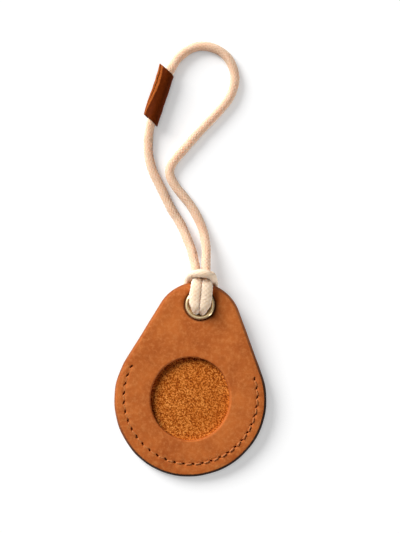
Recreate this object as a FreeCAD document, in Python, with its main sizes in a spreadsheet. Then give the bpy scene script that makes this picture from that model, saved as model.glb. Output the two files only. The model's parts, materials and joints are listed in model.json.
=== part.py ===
# Tracker tag holder: two sewn leather panels, a metal eyelet and a cotton cord loop.
# Millimetres. It lies on a table: +Z up, +Y from the round end towards the cord, origin on the
# table under the middle of the leather.
import FreeCAD, Part
import math
import os
import Sketcher

Vec = FreeCAD.Vector

# Driving sizes: name, value, what it is
SIZES = [
    ("fob_radius", 25.0, "round lower end of both panels"),
    ("top_radius", 14.35, "narrow upper end of both panels"),
    ("end_spacing", 24.5, "between the centres of the two ends"),
    ("front_thick", 2.0, "leather of the front panel"),
    ("back_thick", 2.0, "leather of the back panel"),
    ("edge_round", 0.9, "burnished outer edges"),
    ("window_diameter", 27.2, "round cut-out in the front panel"),
    ("window_round", 0.6, "rim of the cut-out"),
    ("seam_inset", 3.0, "seam's radius, less than that of the round end by this"),
    ("seam_lift", 0.9, "seam's centre above the window's, which leaves the lowest margin wider"),
    ("seam_rise", 21.8, "degrees that the seam climbs past its own centre line"),
    ("stitch_count", 28, "stitches in the seam"),
    ("thread_diameter", 0.8, "waxed thread"),
    ("stitch_bevel", 0.55, "length over which a stitch dips into its hole"),
    ("seam_gap", 0.1, "room beside the thread in its holes and groove"),
    ("groove_depth", 0.7, "stitching groove, which sinks the thread almost flush"),
    ("eyelet_inset", 7.25, "from the top edge down to the eyelet's centre"),
    ("eyelet_wall", 0.35, "eyelet barrel"),
    ("flange_width", 1.35, "half-round front ring of the eyelet"),
    ("lip_width", 0.7, "rolled back end of the eyelet"),
    ("washer_width", 1.35, "washer, from the eyelet's bore to its edge"),
    ("washer_thick", 0.4, "washer"),
    ("washer_round", 0.15, "washer's outer edge"),
    ("metal_gap", 0.05, "room round the eyelet's barrel"),
    ("cord_diameter", 2.8, "cotton cord"),
    ("cord_slack", 1.4, "room in the eyelet beside its two strands of cord"),
    ("cord_gap", 0.1, "room between the cord and what it touches"),
    ("strand_spread", 3.3, "between the two strands where they cross the top edge"),
    ("strand_fall", 29.0, "degrees that the strands fall beyond the top edge"),
    ("knot_lean", 0.95, "sideways shift of the strands between the edge and the swing axis"),
    ("bar_reach", 0.6, "from the strands' nearest point to the edge on to the knot's bar"),
    ("swing_reach", 6.0, "from the strands' nearest point to the edge on to the swing axis"),
    ("swing_gap", 0.2, "running gap at the swing axis"),
    ("sleeve_length", 17.7, "folded leather tab on the cord"),
    ("sleeve_leather", 1.0, "leather of the tab"),
    ("sleeve_tail", 1.45, "leather beside the cord, out to the tab's cut edge"),
    ("sleeve_skew", 29.0, "degrees that the tab's ends are cut askew"),
    ("sleeve_roll", 33.0, "degrees that the tab's cut edge is turned up"),
    ("sleeve_gap", 0.05, "room between the cord and the tab"),
]

# The cord beyond the knot, on the table: (x, y, height of the cord's underside)
RIGHT_ROUTE = [
    (0.2, 41.9, 3.4),
    (-0.5, 46.8, 1.3),
    (-3.0, 52.4, 0.0),
    (-7.4, 57.8, 0.0),
    (-12.4, 62.7, 0.0),
    (-15.6, 67.4, 0.0),
    (-13.7, 71.7, 0.0),
    (-8.6, 79.0, 0.0),
    (0.7, 91.4, 0.0),
    (4.1, 98.9, 0.0),
    (2.2, 105.5, 0.0),
    (-3.0, 109.9, 0.0),
    (-9.8, 110.6, 0.1),
    (-15.4, 107.6, 0.6),
]
LEFT_ROUTE = [
    (-3.4, 41.9, 3.4),
    (-6.0, 46.6, 1.3),
    (-9.6, 51.4, 0.0),
    (-13.6, 56.6, 0.0),
    (-17.5, 61.9, 0.0),
    (-21.0, 67.6, 0.0),
    (-23.2, 74.2, 0.3),
]
SLEEVE_TOP = (-19.3, 100.8)
SLEEVE_FOOT = (-23.0, 83.3)
SLEEVE_LEAD = 2.7  # straight cord beyond each end of the tab
RUN_SHARE = 0.45  # share of the shorter run that an arc of the cord takes up
SAME_LEVEL = 0.001  # edges this close in height count as one level

# Expressions shared by the pieces that fit each other
BORE = "(Sizes.cord_diameter + Sizes.cord_slack / 2)"
BARREL = f"({BORE} + Sizes.eyelet_wall)"
STACK = "(Sizes.front_thick + Sizes.back_thick)"
SEAM_RADIUS = "(Sizes.fob_radius - Sizes.seam_inset)"
SEAM_ARC = "(180 + 2 * Sizes.seam_rise)"
EYELET_Y = "(Sizes.end_spacing + Sizes.top_radius - Sizes.eyelet_inset)"
HOLE_RADIUS = "(Sizes.thread_diameter / 2 + Sizes.seam_gap)"
SLEEVE_BORE = "(Sizes.cord_diameter / 2 + Sizes.sleeve_gap)"
TAIL = f"({SLEEVE_BORE} + Sizes.sleeve_tail)"
SIDE = f"({TAIL} + Sizes.sleeve_leather)"
SLANT = f"({SIDE} * tan(Sizes.sleeve_skew * 1 deg))"


def make_sheet(doc):
    """Spreadsheet of the driving sizes; returns it and a plain lookup of its values."""
    sheet = doc.addObject("Spreadsheet::Sheet", "Sizes")
    for row, (alias, value, meaning) in enumerate(SIZES, start=1):
        sheet.set(f"A{row}", str(value))
        sheet.setAlias(f"A{row}", alias)
        sheet.set(f"B{row}", meaning)
    doc.recompute()
    return sheet, {alias: float(sheet.get(alias)) for alias, _, _ in SIZES}


def new_body(doc, label):
    body = doc.addObject("PartDesign::Body", label)
    body.Label = label
    return body


def new_sketch(body, name, role):
    """Sketch on one of the body's own origin planes."""
    plane = next(f for f in body.Origin.OriginFeatures if f.Role == role)
    sketch = body.newObject("Sketcher::SketchObject", name)
    sketch.AttachmentSupport = [(plane, "")]
    sketch.MapMode = "FlatFace"
    return sketch


def bind(sketch, kind, refs, value, expression):
    """Adds a dimension and ties it to the sheet."""
    index = sketch.addConstraint(Sketcher.Constraint(kind, *refs, value))
    sketch.setExpression(f"Constraints[{index}]", expression)


def join_chain(sketch, ids):
    """Makes each element start where the one before it ends, all round."""
    for here, after in zip(ids, ids[1:] + ids[:1]):
        sketch.addConstraint(Sketcher.Constraint("Coincident", here, 2, after, 1))


def add_lines(sketch, points):
    """Closed outline of straight lines; returns the ids of its sides."""
    corners = [Vec(x, y, 0) for x, y in points]
    sides = zip(corners, corners[1:] + corners[:1])
    ids = [sketch.addGeometry(Part.LineSegment(a, b), False) for a, b in sides]
    join_chain(sketch, ids)
    return ids


def place_points(sketch, placed):
    """Ties points to the sheet by their distances from the origin: (id, end, axis, value, expression)."""
    for geo, end, axis, value, expression in placed:
        bind(sketch, "Distance" + axis, (-1, 1, geo, end), value, expression)


def add_circle(sketch, centre, radius, centre_expression, radius_expression):
    """Circle on the sketch's vertical axis."""
    circle = Part.Circle(Vec(0, centre, 0), Vec(0, 0, 1), radius)
    geo = sketch.addGeometry(circle, False)
    sketch.addConstraint(Sketcher.Constraint("PointOnObject", geo, 3, -2))
    if centre_expression:
        bind(sketch, "DistanceY", (-1, 1, geo, 3), centre, centre_expression)
    else:
        sketch.addConstraint(Sketcher.Constraint("PointOnObject", geo, 3, -1))
    bind(sketch, "Radius", (geo,), radius, radius_expression)


def add_pocket(body, name, sketch, reverse, length=None):
    """Pocket, right through unless a length is given; fails if it removes nothing."""
    before = body.Tip.Shape.Volume
    pocket = body.newObject("PartDesign::Pocket", name)
    pocket.Profile = sketch
    pocket.Reversed = reverse
    if length:
        pocket.Type = "Length"
        pocket.setExpression("Length", length)
    else:
        pocket.Type = "ThroughAll"
    body.Document.recompute()
    if pocket.Shape.Volume >= before:
        raise RuntimeError(name + " removed nothing")
    return pocket


def flat_edges(shape, height, reach=None):
    """Names of the edges that lie at one height, within reach of the axis if given."""
    names = []
    for number, edge in enumerate(shape.Edges, start=1):
        box = edge.BoundBox
        level = max(abs(box.ZMin - height), abs(box.ZMax - height)) < SAME_LEVEL
        if level and (reach is None or max(box.XMax, -box.XMin) < reach):
            names.append(f"Edge{number}")
    return names


def add_fillet(body, name, edges, radius):
    base = body.Tip
    fillet = body.newObject("PartDesign::Fillet", name)
    fillet.Base = (base, edges)
    fillet.setExpression("Radius", radius)
    body.Document.recompute()
    return fillet


def outline_sketch(body, s):
    """Outline of a panel: two round ends and the lines that touch both."""
    sketch = new_sketch(body, body.Label + "_outline", "XY_Plane")
    low, high, apart = s["fob_radius"], s["top_radius"], s["end_spacing"]
    lean = math.asin((low - high) / apart)
    out = Vec(math.cos(lean), math.sin(lean), 0)
    top = Vec(0, apart, 0)
    flip = Vec(-out.x, out.y, 0)
    up = Vec(0, 0, 1)
    low_arc = Part.ArcOfCircle(Part.Circle(Vec(), up, low), math.pi - lean, 2 * math.pi + lean)
    high_arc = Part.ArcOfCircle(Part.Circle(top, up, high), lean, math.pi - lean)
    ids = [
        sketch.addGeometry(low_arc, False),
        sketch.addGeometry(Part.LineSegment(out * low, top + out * high), False),
        sketch.addGeometry(high_arc, False),
        sketch.addGeometry(Part.LineSegment(top + flip * high, flip * low), False),
    ]
    for here, after in zip(ids, ids[1:] + ids[:1]):
        sketch.addConstraint(Sketcher.Constraint("Tangent", here, 2, after, 1))
    sketch.addConstraint(Sketcher.Constraint("Coincident", ids[0], 3, -1, 1))
    sketch.addConstraint(Sketcher.Constraint("PointOnObject", ids[2], 3, -2))
    bind(sketch, "Radius", (ids[0],), low, "Sizes.fob_radius")
    bind(sketch, "Radius", (ids[2],), high, "Sizes.top_radius")
    bind(sketch, "DistanceY", (-1, 1, ids[2], 3), apart, "Sizes.end_spacing")
    return sketch


def cut_groove(body, s, floor, top, floor_expression, top_expression):
    """Stitching groove, turned about the seam's own centre and even to both sides."""
    sketch = new_sketch(body, body.Label + "_groove_section", "YZ_Plane")
    sketch.setExpression("AttachmentOffset.Base.x", "Sizes.seam_lift")
    seam = s["fob_radius"] - s["seam_inset"]
    half = s["thread_diameter"] / 2 + s["seam_gap"]
    inner = -(seam - half)
    outer = -(seam + half)
    ids = add_lines(sketch, [(outer, floor), (inner, floor), (inner, top), (outer, top)])
    for side, kind in zip(ids, ("Horizontal", "Vertical", "Horizontal", "Vertical")):
        sketch.addConstraint(Sketcher.Constraint(kind, side))
    place_points(sketch, [
        (ids[0], 1, "X", outer, f"-({SEAM_RADIUS} + {HOLE_RADIUS})"),
        (ids[0], 2, "X", inner, f"-({SEAM_RADIUS} - {HOLE_RADIUS})"),
        (ids[0], 1, "Y", floor, floor_expression),
        (ids[2], 1, "Y", top, top_expression),
    ])
    before = body.Tip.Shape.Volume
    groove = body.newObject("PartDesign::Groove", body.Label + "_groove")
    groove.Profile = sketch
    groove.ReferenceAxis = (sketch, ["V_Axis"])
    groove.Midplane = True
    groove.setExpression("Angle", SEAM_ARC)
    body.Document.recompute()
    if groove.Shape.Volume >= before:
        raise RuntimeError(body.Label + " has no groove")


def punch_holes(body, s):
    """Stitch holes: one at the left end of the seam, repeated round to its right end."""
    seam = s["fob_radius"] - s["seam_inset"]
    rise = math.radians(s["seam_rise"])
    first = Vec(-seam * math.cos(rise), seam * math.sin(rise), 0)
    radius = s["thread_diameter"] / 2 + s["seam_gap"]
    sketch = new_sketch(body, body.Label + "_hole", "XY_Plane")
    sketch.setExpression("AttachmentOffset.Base.y", "Sizes.seam_lift")
    geo = sketch.addGeometry(Part.Circle(first, Vec(0, 0, 1), radius), False)
    place_points(sketch, [
        (geo, 3, "X", first.x, f"-{SEAM_RADIUS} * cos(Sizes.seam_rise * 1 deg)"),
        (geo, 3, "Y", first.y, f"{SEAM_RADIUS} * sin(Sizes.seam_rise * 1 deg)"),
    ])
    bind(sketch, "Radius", (geo,), radius, HOLE_RADIUS)
    hole = add_pocket(body, body.Label + "_stitch_hole", sketch, True)
    pattern = body.newObject("PartDesign::PolarPattern", body.Label + "_stitch_holes")
    pattern.Originals = [hole]
    pattern.Axis = (sketch, ["N_Axis"])
    pattern.setExpression("Angle", SEAM_ARC)
    pattern.setExpression("Occurrences", "Sizes.stitch_count + 1")
    body.Tip = pattern
    body.Document.recompute()


def make_panel(doc, s, label, thick_alias, outer_face_up):
    """Leather panel with its rounded edge, eyelet hole, stitching groove and stitch holes."""
    body = new_body(doc, label)
    thick = s[thick_alias]
    pad = body.newObject("PartDesign::Pad", label + "_sheet")
    pad.Profile = outline_sketch(body, s)
    pad.setExpression("Length", "Sizes." + thick_alias)
    doc.recompute()
    face = thick if outer_face_up else 0.0
    add_fillet(body, label + "_edge", flat_edges(pad.Shape, face), "Sizes.edge_round")
    hole = new_sketch(body, label + "_eyelet_circle", "XY_Plane")
    eyelet_y = s["end_spacing"] + s["top_radius"] - s["eyelet_inset"]
    barrel = s["cord_diameter"] + s["cord_slack"] / 2 + s["eyelet_wall"]
    add_circle(hole, eyelet_y, barrel + s["metal_gap"], EYELET_Y, f"{BARREL} + Sizes.metal_gap")
    add_pocket(body, label + "_eyelet_hole", hole, True)
    if outer_face_up:
        cut_window(body, s)
        floor, top = thick - s["groove_depth"], thick
        cut_groove(body, s, floor, top, f"Sizes.{thick_alias} - Sizes.groove_depth", "Sizes." + thick_alias)
    else:
        cut_groove(body, s, 0.0, s["groove_depth"], "0", "Sizes.groove_depth")
    punch_holes(body, s)
    return body


def cut_window(body, s):
    """Round window with a softened front rim."""
    sketch = new_sketch(body, body.Label + "_window_circle", "XY_Plane")
    radius = s["window_diameter"] / 2
    add_circle(sketch, 0.0, radius, None, "Sizes.window_diameter / 2")
    window = add_pocket(body, body.Label + "_window", sketch, True)
    rim = flat_edges(window.Shape, s["front_thick"], radius + s["window_round"])
    eyelet_side = [name for name in rim if window.Shape.getElement(name).BoundBox.YMin > radius]
    rim = [name for name in rim if name not in eyelet_side]
    add_fillet(body, body.Label + "_rim", rim, "Sizes.window_round")


def make_thread(doc, s):
    """Seam thread: a post in every hole, joined by stitches that dip at their ends on both faces."""
    body = new_body(doc, "seam_thread")
    seam = s["fob_radius"] - s["seam_inset"]
    half_step = math.radians((180 + 2 * s["seam_rise"]) / s["stitch_count"] / 2)
    reach = seam * math.sin(half_step)
    stack = s["front_thick"] + s["back_thick"]
    depth = s["groove_depth"]
    half_step_text = f"({SEAM_ARC} / Sizes.stitch_count / 2 * 1 deg)"
    reach_text = f"{SEAM_RADIUS} * sin({half_step_text})"

    post_circle = new_sketch(body, "thread_post_circle", "XY_Plane")
    circle = Part.Circle(Vec(-reach, -seam * math.cos(half_step), 0), Vec(0, 0, 1), s["thread_diameter"] / 2)
    post_id = post_circle.addGeometry(circle, False)
    place_points(post_circle, [
        (post_id, 3, "X", -reach, "-" + reach_text),
        (post_id, 3, "Y", -seam * math.cos(half_step), f"-{SEAM_RADIUS} * cos({half_step_text})"),
    ])
    bind(post_circle, "Radius", (post_id,), s["thread_diameter"] / 2, "Sizes.thread_diameter / 2")
    post_circle.setExpression("AttachmentOffset.Base.z", "Sizes.groove_depth")
    post = body.newObject("PartDesign::Pad", "thread_post")
    post.Profile = post_circle
    post.setExpression("Length", f"{STACK} - 2 * Sizes.groove_depth")
    doc.recompute()

    side = new_sketch(body, "stitch_side", "XZ_Plane")
    side.setExpression("AttachmentOffset.Base.z", f"{SEAM_RADIUS} * cos({half_step_text})")
    for floor, floor_text, way in (
        (stack - depth, f"{STACK} - Sizes.groove_depth", 1),
        (depth, "Sizes.groove_depth", -1),
    ):
        crown = floor + way * s["thread_diameter"]
        crown_text = f"{floor_text} + {way} * Sizes.thread_diameter"
        short = reach - s["stitch_bevel"]
        ids = add_lines(side, [(-reach, floor), (reach, floor), (short, crown), (-short, crown)])
        place_points(side, [
            (ids[0], 1, "X", -reach, "-" + reach_text),
            (ids[0], 2, "X", reach, reach_text),
            (ids[2], 1, "X", short, f"{reach_text} - Sizes.stitch_bevel"),
            (ids[2], 2, "X", -short, f"Sizes.stitch_bevel - {reach_text}"),
            (ids[0], 1, "Y", floor, floor_text),
            (ids[0], 2, "Y", floor, floor_text),
            (ids[2], 1, "Y", crown, crown_text),
            (ids[2], 2, "Y", crown, crown_text),
        ])
    stitch = body.newObject("PartDesign::Pad", "stitch_pair")
    stitch.Profile = side
    stitch.Midplane = True
    stitch.setExpression("Length", "Sizes.thread_diameter")
    doc.recompute()

    for name, originals, count, angle in (
        ("stitches", [post, stitch], "Sizes.stitch_count", f"{SEAM_ARC} * (1 - 1 / Sizes.stitch_count)"),
        ("last_post", [post], "2", SEAM_ARC),
    ):
        pattern = body.newObject("PartDesign::PolarPattern", name)
        pattern.Originals = originals
        pattern.Axis = (post_circle, ["N_Axis"])
        pattern.setExpression("Angle", angle)
        pattern.setExpression("Occurrences", count)
        body.Tip = pattern
        doc.recompute()
    start = s["seam_rise"] + 90 - math.degrees(half_step)
    return body, FreeCAD.Placement(Vec(0, s["seam_lift"], 0), FreeCAD.Rotation(Vec(0, 0, 1), -start))


def make_eyelet(doc, s):
    """Eyelet: half-round front ring, barrel through both panels, end rolled over the washer."""
    body = new_body(doc, "eyelet")
    bore = s["cord_diameter"] + s["cord_slack"] / 2
    barrel = bore + s["eyelet_wall"]
    flange = bore + s["flange_width"]
    lip = bore + s["lip_width"]
    top = s["front_thick"] + s["back_thick"]
    foot = -s["washer_thick"]
    flange_text = f"{BORE} + Sizes.flange_width"
    lip_text = f"{BORE} + Sizes.lip_width"
    sketch = new_sketch(body, "eyelet_section", "XZ_Plane")
    up = Vec(0, 0, 1)
    ring = Part.Circle(Vec((bore + flange) / 2, top, 0), up, s["flange_width"] / 2)
    roll = Part.Circle(Vec((bore + lip) / 2, foot, 0), up, s["lip_width"] / 2)
    bore_foot = Vec(bore, foot, 0)
    bore_top = Vec(bore, top, 0)
    flange_rim = Vec(flange, top, 0)
    neck = Vec(barrel, top, 0)
    seat = Vec(barrel, foot, 0)
    lip_rim = Vec(lip, foot, 0)
    ids = [
        sketch.addGeometry(Part.LineSegment(bore_foot, bore_top), False),
        sketch.addGeometry(Part.ArcOfCircle(ring, 0, math.pi), False),
        sketch.addGeometry(Part.LineSegment(flange_rim, neck), False),
        sketch.addGeometry(Part.LineSegment(neck, seat), False),
        sketch.addGeometry(Part.LineSegment(seat, lip_rim), False),
        sketch.addGeometry(Part.ArcOfCircle(roll, math.pi, 2 * math.pi), False),
    ]
    joints = [(0, 2, 1, 2), (1, 1, 2, 1), (2, 2, 3, 1), (3, 2, 4, 1), (4, 2, 5, 2), (5, 1, 0, 1)]
    for here, end, after, start in joints:
        sketch.addConstraint(Sketcher.Constraint("Coincident", ids[here], end, ids[after], start))
    place_points(sketch, [
        (ids[0], 1, "X", bore, BORE), (ids[0], 1, "Y", foot, "-Sizes.washer_thick"),
        (ids[0], 2, "X", bore, BORE), (ids[0], 2, "Y", top, STACK),
        (ids[2], 1, "X", flange, flange_text), (ids[2], 1, "Y", top, STACK),
        (ids[2], 2, "X", barrel, BARREL), (ids[2], 2, "Y", top, STACK),
        (ids[3], 2, "X", barrel, BARREL), (ids[3], 2, "Y", foot, "-Sizes.washer_thick"),
        (ids[4], 2, "X", lip, lip_text), (ids[4], 2, "Y", foot, "-Sizes.washer_thick"),
        (ids[1], 3, "Y", top, STACK), (ids[5], 3, "Y", foot, "-Sizes.washer_thick"),
    ])
    turned = body.newObject("PartDesign::Revolution", "eyelet_turned")
    turned.Profile = sketch
    turned.ReferenceAxis = (sketch, ["V_Axis"])
    turned.Angle = 360
    doc.recompute()
    return body


def make_washer(doc, s):
    """Flat washer under the eyelet's rolled end."""
    body = new_body(doc, "eyelet_washer")
    bore = s["cord_diameter"] + s["cord_slack"] / 2
    sketch = new_sketch(body, "washer_circles", "XY_Plane")
    inner = bore + s["eyelet_wall"] + s["metal_gap"]
    outer = bore + s["washer_width"]
    add_circle(sketch, 0.0, inner, None, f"{BARREL} + Sizes.metal_gap")
    add_circle(sketch, 0.0, outer, None, f"{BORE} + Sizes.washer_width")
    pad = body.newObject("PartDesign::Pad", "washer_sheet")
    pad.Profile = sketch
    pad.Reversed = True
    pad.setExpression("Length", "Sizes.washer_thick")
    doc.recompute()
    rim = flat_edges(pad.Shape, -s["washer_thick"])
    hole = flat_edges(pad.Shape, -s["washer_thick"], (inner + outer) / 2)
    add_fillet(body, "washer_edge", [name for name in rim if name not in hole], "Sizes.washer_round")
    return body


def make_sleeve(doc, s):
    """Leather tab folded round the cord: its cut edges meet in a tail, its ends are cut askew."""
    body = new_body(doc, "cord_sleeve")
    bore = s["cord_diameter"] / 2 + s["sleeve_gap"]
    fold = bore + s["sleeve_leather"]
    leather = s["sleeve_leather"]
    section = new_sketch(body, "sleeve_section", "XZ_Plane")
    tail = -(bore + s["sleeve_tail"])
    corner = math.hypot(tail, leather)
    touch = math.pi - math.atan2(leather, -tail) - math.acos(fold / corner)
    upper = Vec(fold * math.cos(touch), fold * math.sin(touch), 0)
    lower = Vec(upper.x, -upper.y, 0)
    tail_up = Vec(tail, leather, 0)
    tail_down = Vec(tail, -leather, 0)
    round_side = Part.ArcOfCircle(Part.Circle(Vec(), Vec(0, 0, 1), fold), -touch, touch)
    ids = [
        section.addGeometry(round_side, False),
        section.addGeometry(Part.LineSegment(upper, tail_up), False),
        section.addGeometry(Part.LineSegment(tail_up, tail_down), False),
        section.addGeometry(Part.LineSegment(tail_down, lower), False),
    ]
    section.addConstraint(Sketcher.Constraint("Tangent", ids[0], 2, ids[1], 1))
    section.addConstraint(Sketcher.Constraint("Coincident", ids[1], 2, ids[2], 1))
    section.addConstraint(Sketcher.Constraint("Coincident", ids[2], 2, ids[3], 1))
    section.addConstraint(Sketcher.Constraint("Tangent", ids[3], 2, ids[0], 1))
    section.addConstraint(Sketcher.Constraint("Coincident", ids[0], 3, -1, 1))
    place_points(section, [
        (ids[2], 1, "X", tail, "-" + TAIL), (ids[2], 1, "Y", leather, "Sizes.sleeve_leather"),
        (ids[2], 2, "X", tail, "-" + TAIL), (ids[2], 2, "Y", -leather, "-Sizes.sleeve_leather"),
    ])
    bind(section, "Radius", (ids[0],), fold, f"{SLEEVE_BORE} + Sizes.sleeve_leather")
    add_circle(section, 0.0, bore, None, SLEEVE_BORE)
    pad = body.newObject("PartDesign::Pad", "sleeve_fold")
    pad.Profile = section
    pad.Midplane = True
    pad.setExpression("Length", f"Sizes.sleeve_length + 2 * {SLANT}")
    doc.recompute()
    trim_sleeve(body, s)
    return body


def trim_sleeve(body, s):
    """Cuts both ends of the tab along slanting lines that cross its axis at its stated length."""
    side = s["cord_diameter"] / 2 + s["sleeve_gap"] + s["sleeve_tail"] + s["sleeve_leather"]
    slant = side * math.tan(math.radians(s["sleeve_skew"]))
    length = s["sleeve_length"]
    sketch = new_sketch(body, "sleeve_ends", "XY_Plane")
    for way in (1, -1):
        near = way * length / 2
        far = way * (length + slant)
        near_text = f"{way} * Sizes.sleeve_length / 2"
        far_text = f"{way} * (Sizes.sleeve_length + {SLANT})"
        corners = [
            (-side, near + slant, "-" + SIDE, f"{near_text} + {SLANT}"),
            (side, near - slant, SIDE, f"{near_text} - {SLANT}"),
            (side, far, SIDE, far_text),
            (-side, far, "-" + SIDE, far_text),
        ]
        ids = add_lines(sketch, [(x, y) for x, y, _, _ in corners])
        for geo, (x, y, x_text, y_text) in zip(ids, corners):
            place_points(sketch, [(geo, 1, "X", x, x_text), (geo, 1, "Y", y, y_text)])
    before = body.Tip.Shape.Volume
    cut = body.newObject("PartDesign::Pocket", "sleeve_trim")
    cut.Profile = sketch
    cut.Type = "ThroughAll"
    cut.Midplane = True
    body.Document.recompute()
    if cut.Shape.Volume >= before:
        raise RuntimeError("the tab's ends are not cut")


def cord_path(points, radii=None):
    """Wire of straight runs joined by tangent arcs; returns it and the arcs' radii.

    A corner whose radius isn't given takes the largest arc that its two runs allow.
    """
    edges = []
    used = []
    start = points[0]
    for number in range(1, len(points) - 1):
        corner = points[number]
        back = points[number - 1] - corner
        ahead = points[number + 1] - corner
        half_turn = (math.pi - back.getAngle(ahead)) / 2
        radius = radii[number] if radii and radii[number] else None
        if radius is None:
            radius = RUN_SHARE * min(back.Length, ahead.Length) / math.tan(half_turn)
        back.normalize()
        ahead.normalize()
        tangent = radius * math.tan(half_turn)
        inward = back + ahead
        inward.normalize()
        first = corner + back * tangent
        last = corner + ahead * tangent
        middle = corner + inward * (radius / math.cos(half_turn) - radius)
        edges.append(Part.LineSegment(start, first).toShape())
        edges.append(Part.Arc(first, middle, last).toShape())
        used.append(round(radius, 1))
        start = last
    edges.append(Part.LineSegment(start, points[-1]).toShape())
    return Part.Wire(edges), used


def add_cord(doc, label, points, radii=None):
    """Round cord swept along a path; prints its arcs and its volume against section times length."""
    wire, used = cord_path(points, radii)
    path = doc.addObject("Part::Feature", label + "_path")
    path.Shape = wire
    section = doc.addObject("Part::Circle", label + "_section")
    section.setExpression("Radius", "Sizes.cord_diameter / 2")
    heading = points[1] - points[0]
    section.Placement = FreeCAD.Placement(points[0], FreeCAD.Rotation(Vec(0, 0, 1), heading))
    doc.recompute()
    sweep = doc.addObject("Part::Sweep", label + "_tube")
    sweep.Sections = [section]
    sweep.Spine = (path, [f"Edge{n + 1}" for n in range(len(wire.Edges))])
    sweep.Solid = True
    sweep.Frenet = False
    doc.recompute()
    ideal = math.pi * section.Radius.Value ** 2 * wire.Length
    print(f"{label}: length {wire.Length:.1f}, volume ratio {sweep.Shape.Volume / ideal:.4f}, radii {used}")
    return sweep


def add_leg(doc, label, points):
    """Leg of the loop: a cord with a ball end on the swing axis."""
    tube = add_cord(doc, label, points)
    ball = doc.addObject("Part::Sphere", label + "_end")
    ball.setExpression("Radius", "Sizes.cord_diameter / 2")
    ball.Angle1 = 0
    away = points[0] - points[1]
    ball.Placement = FreeCAD.Placement(points[0], FreeCAD.Rotation(Vec(0, 0, 1), away))
    leg = doc.addObject("Part::MultiFuse", label)
    leg.Shapes = [tube, ball]
    leg.Label = label
    doc.recompute()
    return leg


class Knot:
    """Lark's head hitch through the eyelet and over the top edge, worked out from the sizes.

    Points are in the holder's own axes: x across, y along, z up from the back face.
    """

    def __init__(self, s):
        self.s = s
        self.cord = s["cord_diameter"] / 2
        self.gap = s["cord_gap"]
        self.stack = s["front_thick"] + s["back_thick"]
        self.top = s["end_spacing"] + s["top_radius"]
        bore = s["cord_diameter"] + s["cord_slack"] / 2
        clear = self.gap + self.cord
        self.front = self.stack + s["flange_width"] / 2 + clear
        self.back = -(s["washer_thick"] + s["lip_width"] / 2 + clear)
        self.hole_x = self.cord + self.gap / 2
        drop = math.sqrt((bore - clear) ** 2 - self.hole_x ** 2)
        self.hole_y = self.top - s["eyelet_inset"] - drop
        fall = math.radians(s["strand_fall"])
        self.along = Vec(0, math.cos(fall), -math.sin(fall))
        self.off = Vec(0, math.sin(fall), math.cos(fall))
        edge = s["edge_round"]
        self.edge = Vec(0, self.top - edge, self.stack - edge) + self.off * (edge + clear)
        self.bend_run = (self.edge.z - self.front) / math.sin(fall)
        self.hole_radius = RUN_SHARE * (self.bend_y() - self.hole_y)

    def bend_y(self):
        """Where the front strands start to fall towards the edge."""
        return self.edge.y + self.bend_run * self.along.y

    def strand(self, side, reach):
        """Point on a strand beyond the bend, by its distance from the edge."""
        share = (reach - self.bend_run) / (self.s["swing_reach"] - self.bend_run)
        across = side * self.s["strand_spread"] / 2 - share * self.s["knot_lean"]
        return Vec(across, 0, 0) + self.edge + self.along * reach

    def swing_point(self, side):
        return self.strand(side, self.s["swing_reach"])

    def stub_end(self, side):
        """Where the knot's strand stops short of the leg's ball end."""
        pivot = self.swing_point(side)
        towards = self.strand(side, self.bend_run) - pivot
        towards.normalize()
        return pivot + towards * (self.cord + self.s["swing_gap"])

    def half(self, side):
        """Points and radii of one side, from its strand's end to the end of the bar."""
        wrap = 2 * self.cord + self.gap
        strand = self.strand(side, self.s["bar_reach"])
        bar = strand + self.off * wrap
        further = self.strand(side, self.s["bar_reach"] + self.cord)
        bar_x = side * (max(side * strand.x, side * further.x) + wrap)
        top_radius = self.s["top_radius"]
        edge_y = self.s["end_spacing"] + math.sqrt(top_radius ** 2 - bar_x ** 2)
        over_y = edge_y + self.cord + 2 * self.gap
        edge_radius = self.cord + self.s["edge_round"] + 2 * self.gap
        points = [
            (self.stub_end(side), None),
            (self.strand(side, self.bend_run), None),
            (Vec(side * self.hole_x, self.hole_y, self.front), self.hole_radius),
            (Vec(side * self.hole_x, self.hole_y, self.back), self.hole_radius),
            (Vec(bar_x, over_y, self.back), edge_radius),
            (Vec(bar_x, bar.y, bar.z), wrap),
        ]
        return points

    def route(self):
        """Whole knot, from the left strand's end to the right one's."""
        both = self.half(-1) + self.half(1)[::-1]
        return [point for point, _ in both], [radius for _, radius in both]


def least_self_gap(wire, radius, apart):
    """Least gap between stretches of a cord that are further apart along it than the given length."""
    step = radius / 4
    count = int(wire.Length / step)
    spots = wire.discretize(Number=count)
    skip = int(apart / step)
    pairs = ((a, b) for i, a in enumerate(spots) for b in spots[i + skip:])
    return min(a.distanceToPoint(b) for a, b in pairs) - 2 * radius


def holder_placement(s, knot):
    """Holder on the table: it rests on its round end and on the knot's back strands."""
    edge = s["edge_round"]
    lowest = Vec(0, knot.hole_y + knot.hole_radius, knot.back - knot.cord - knot.gap)
    tilt = math.atan2(-lowest.z, lowest.y + s["fob_radius"] - edge)
    rise = (s["fob_radius"] - edge) * math.sin(tilt) + edge * (1 - math.cos(tilt))
    shift = (knot.stack * math.sin(tilt) - (knot.top - s["fob_radius"]) * math.cos(tilt)) / 2
    return FreeCAD.Placement(Vec(0, shift, rise), FreeCAD.Rotation(Vec(1, 0, 0), math.degrees(tilt)))


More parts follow.
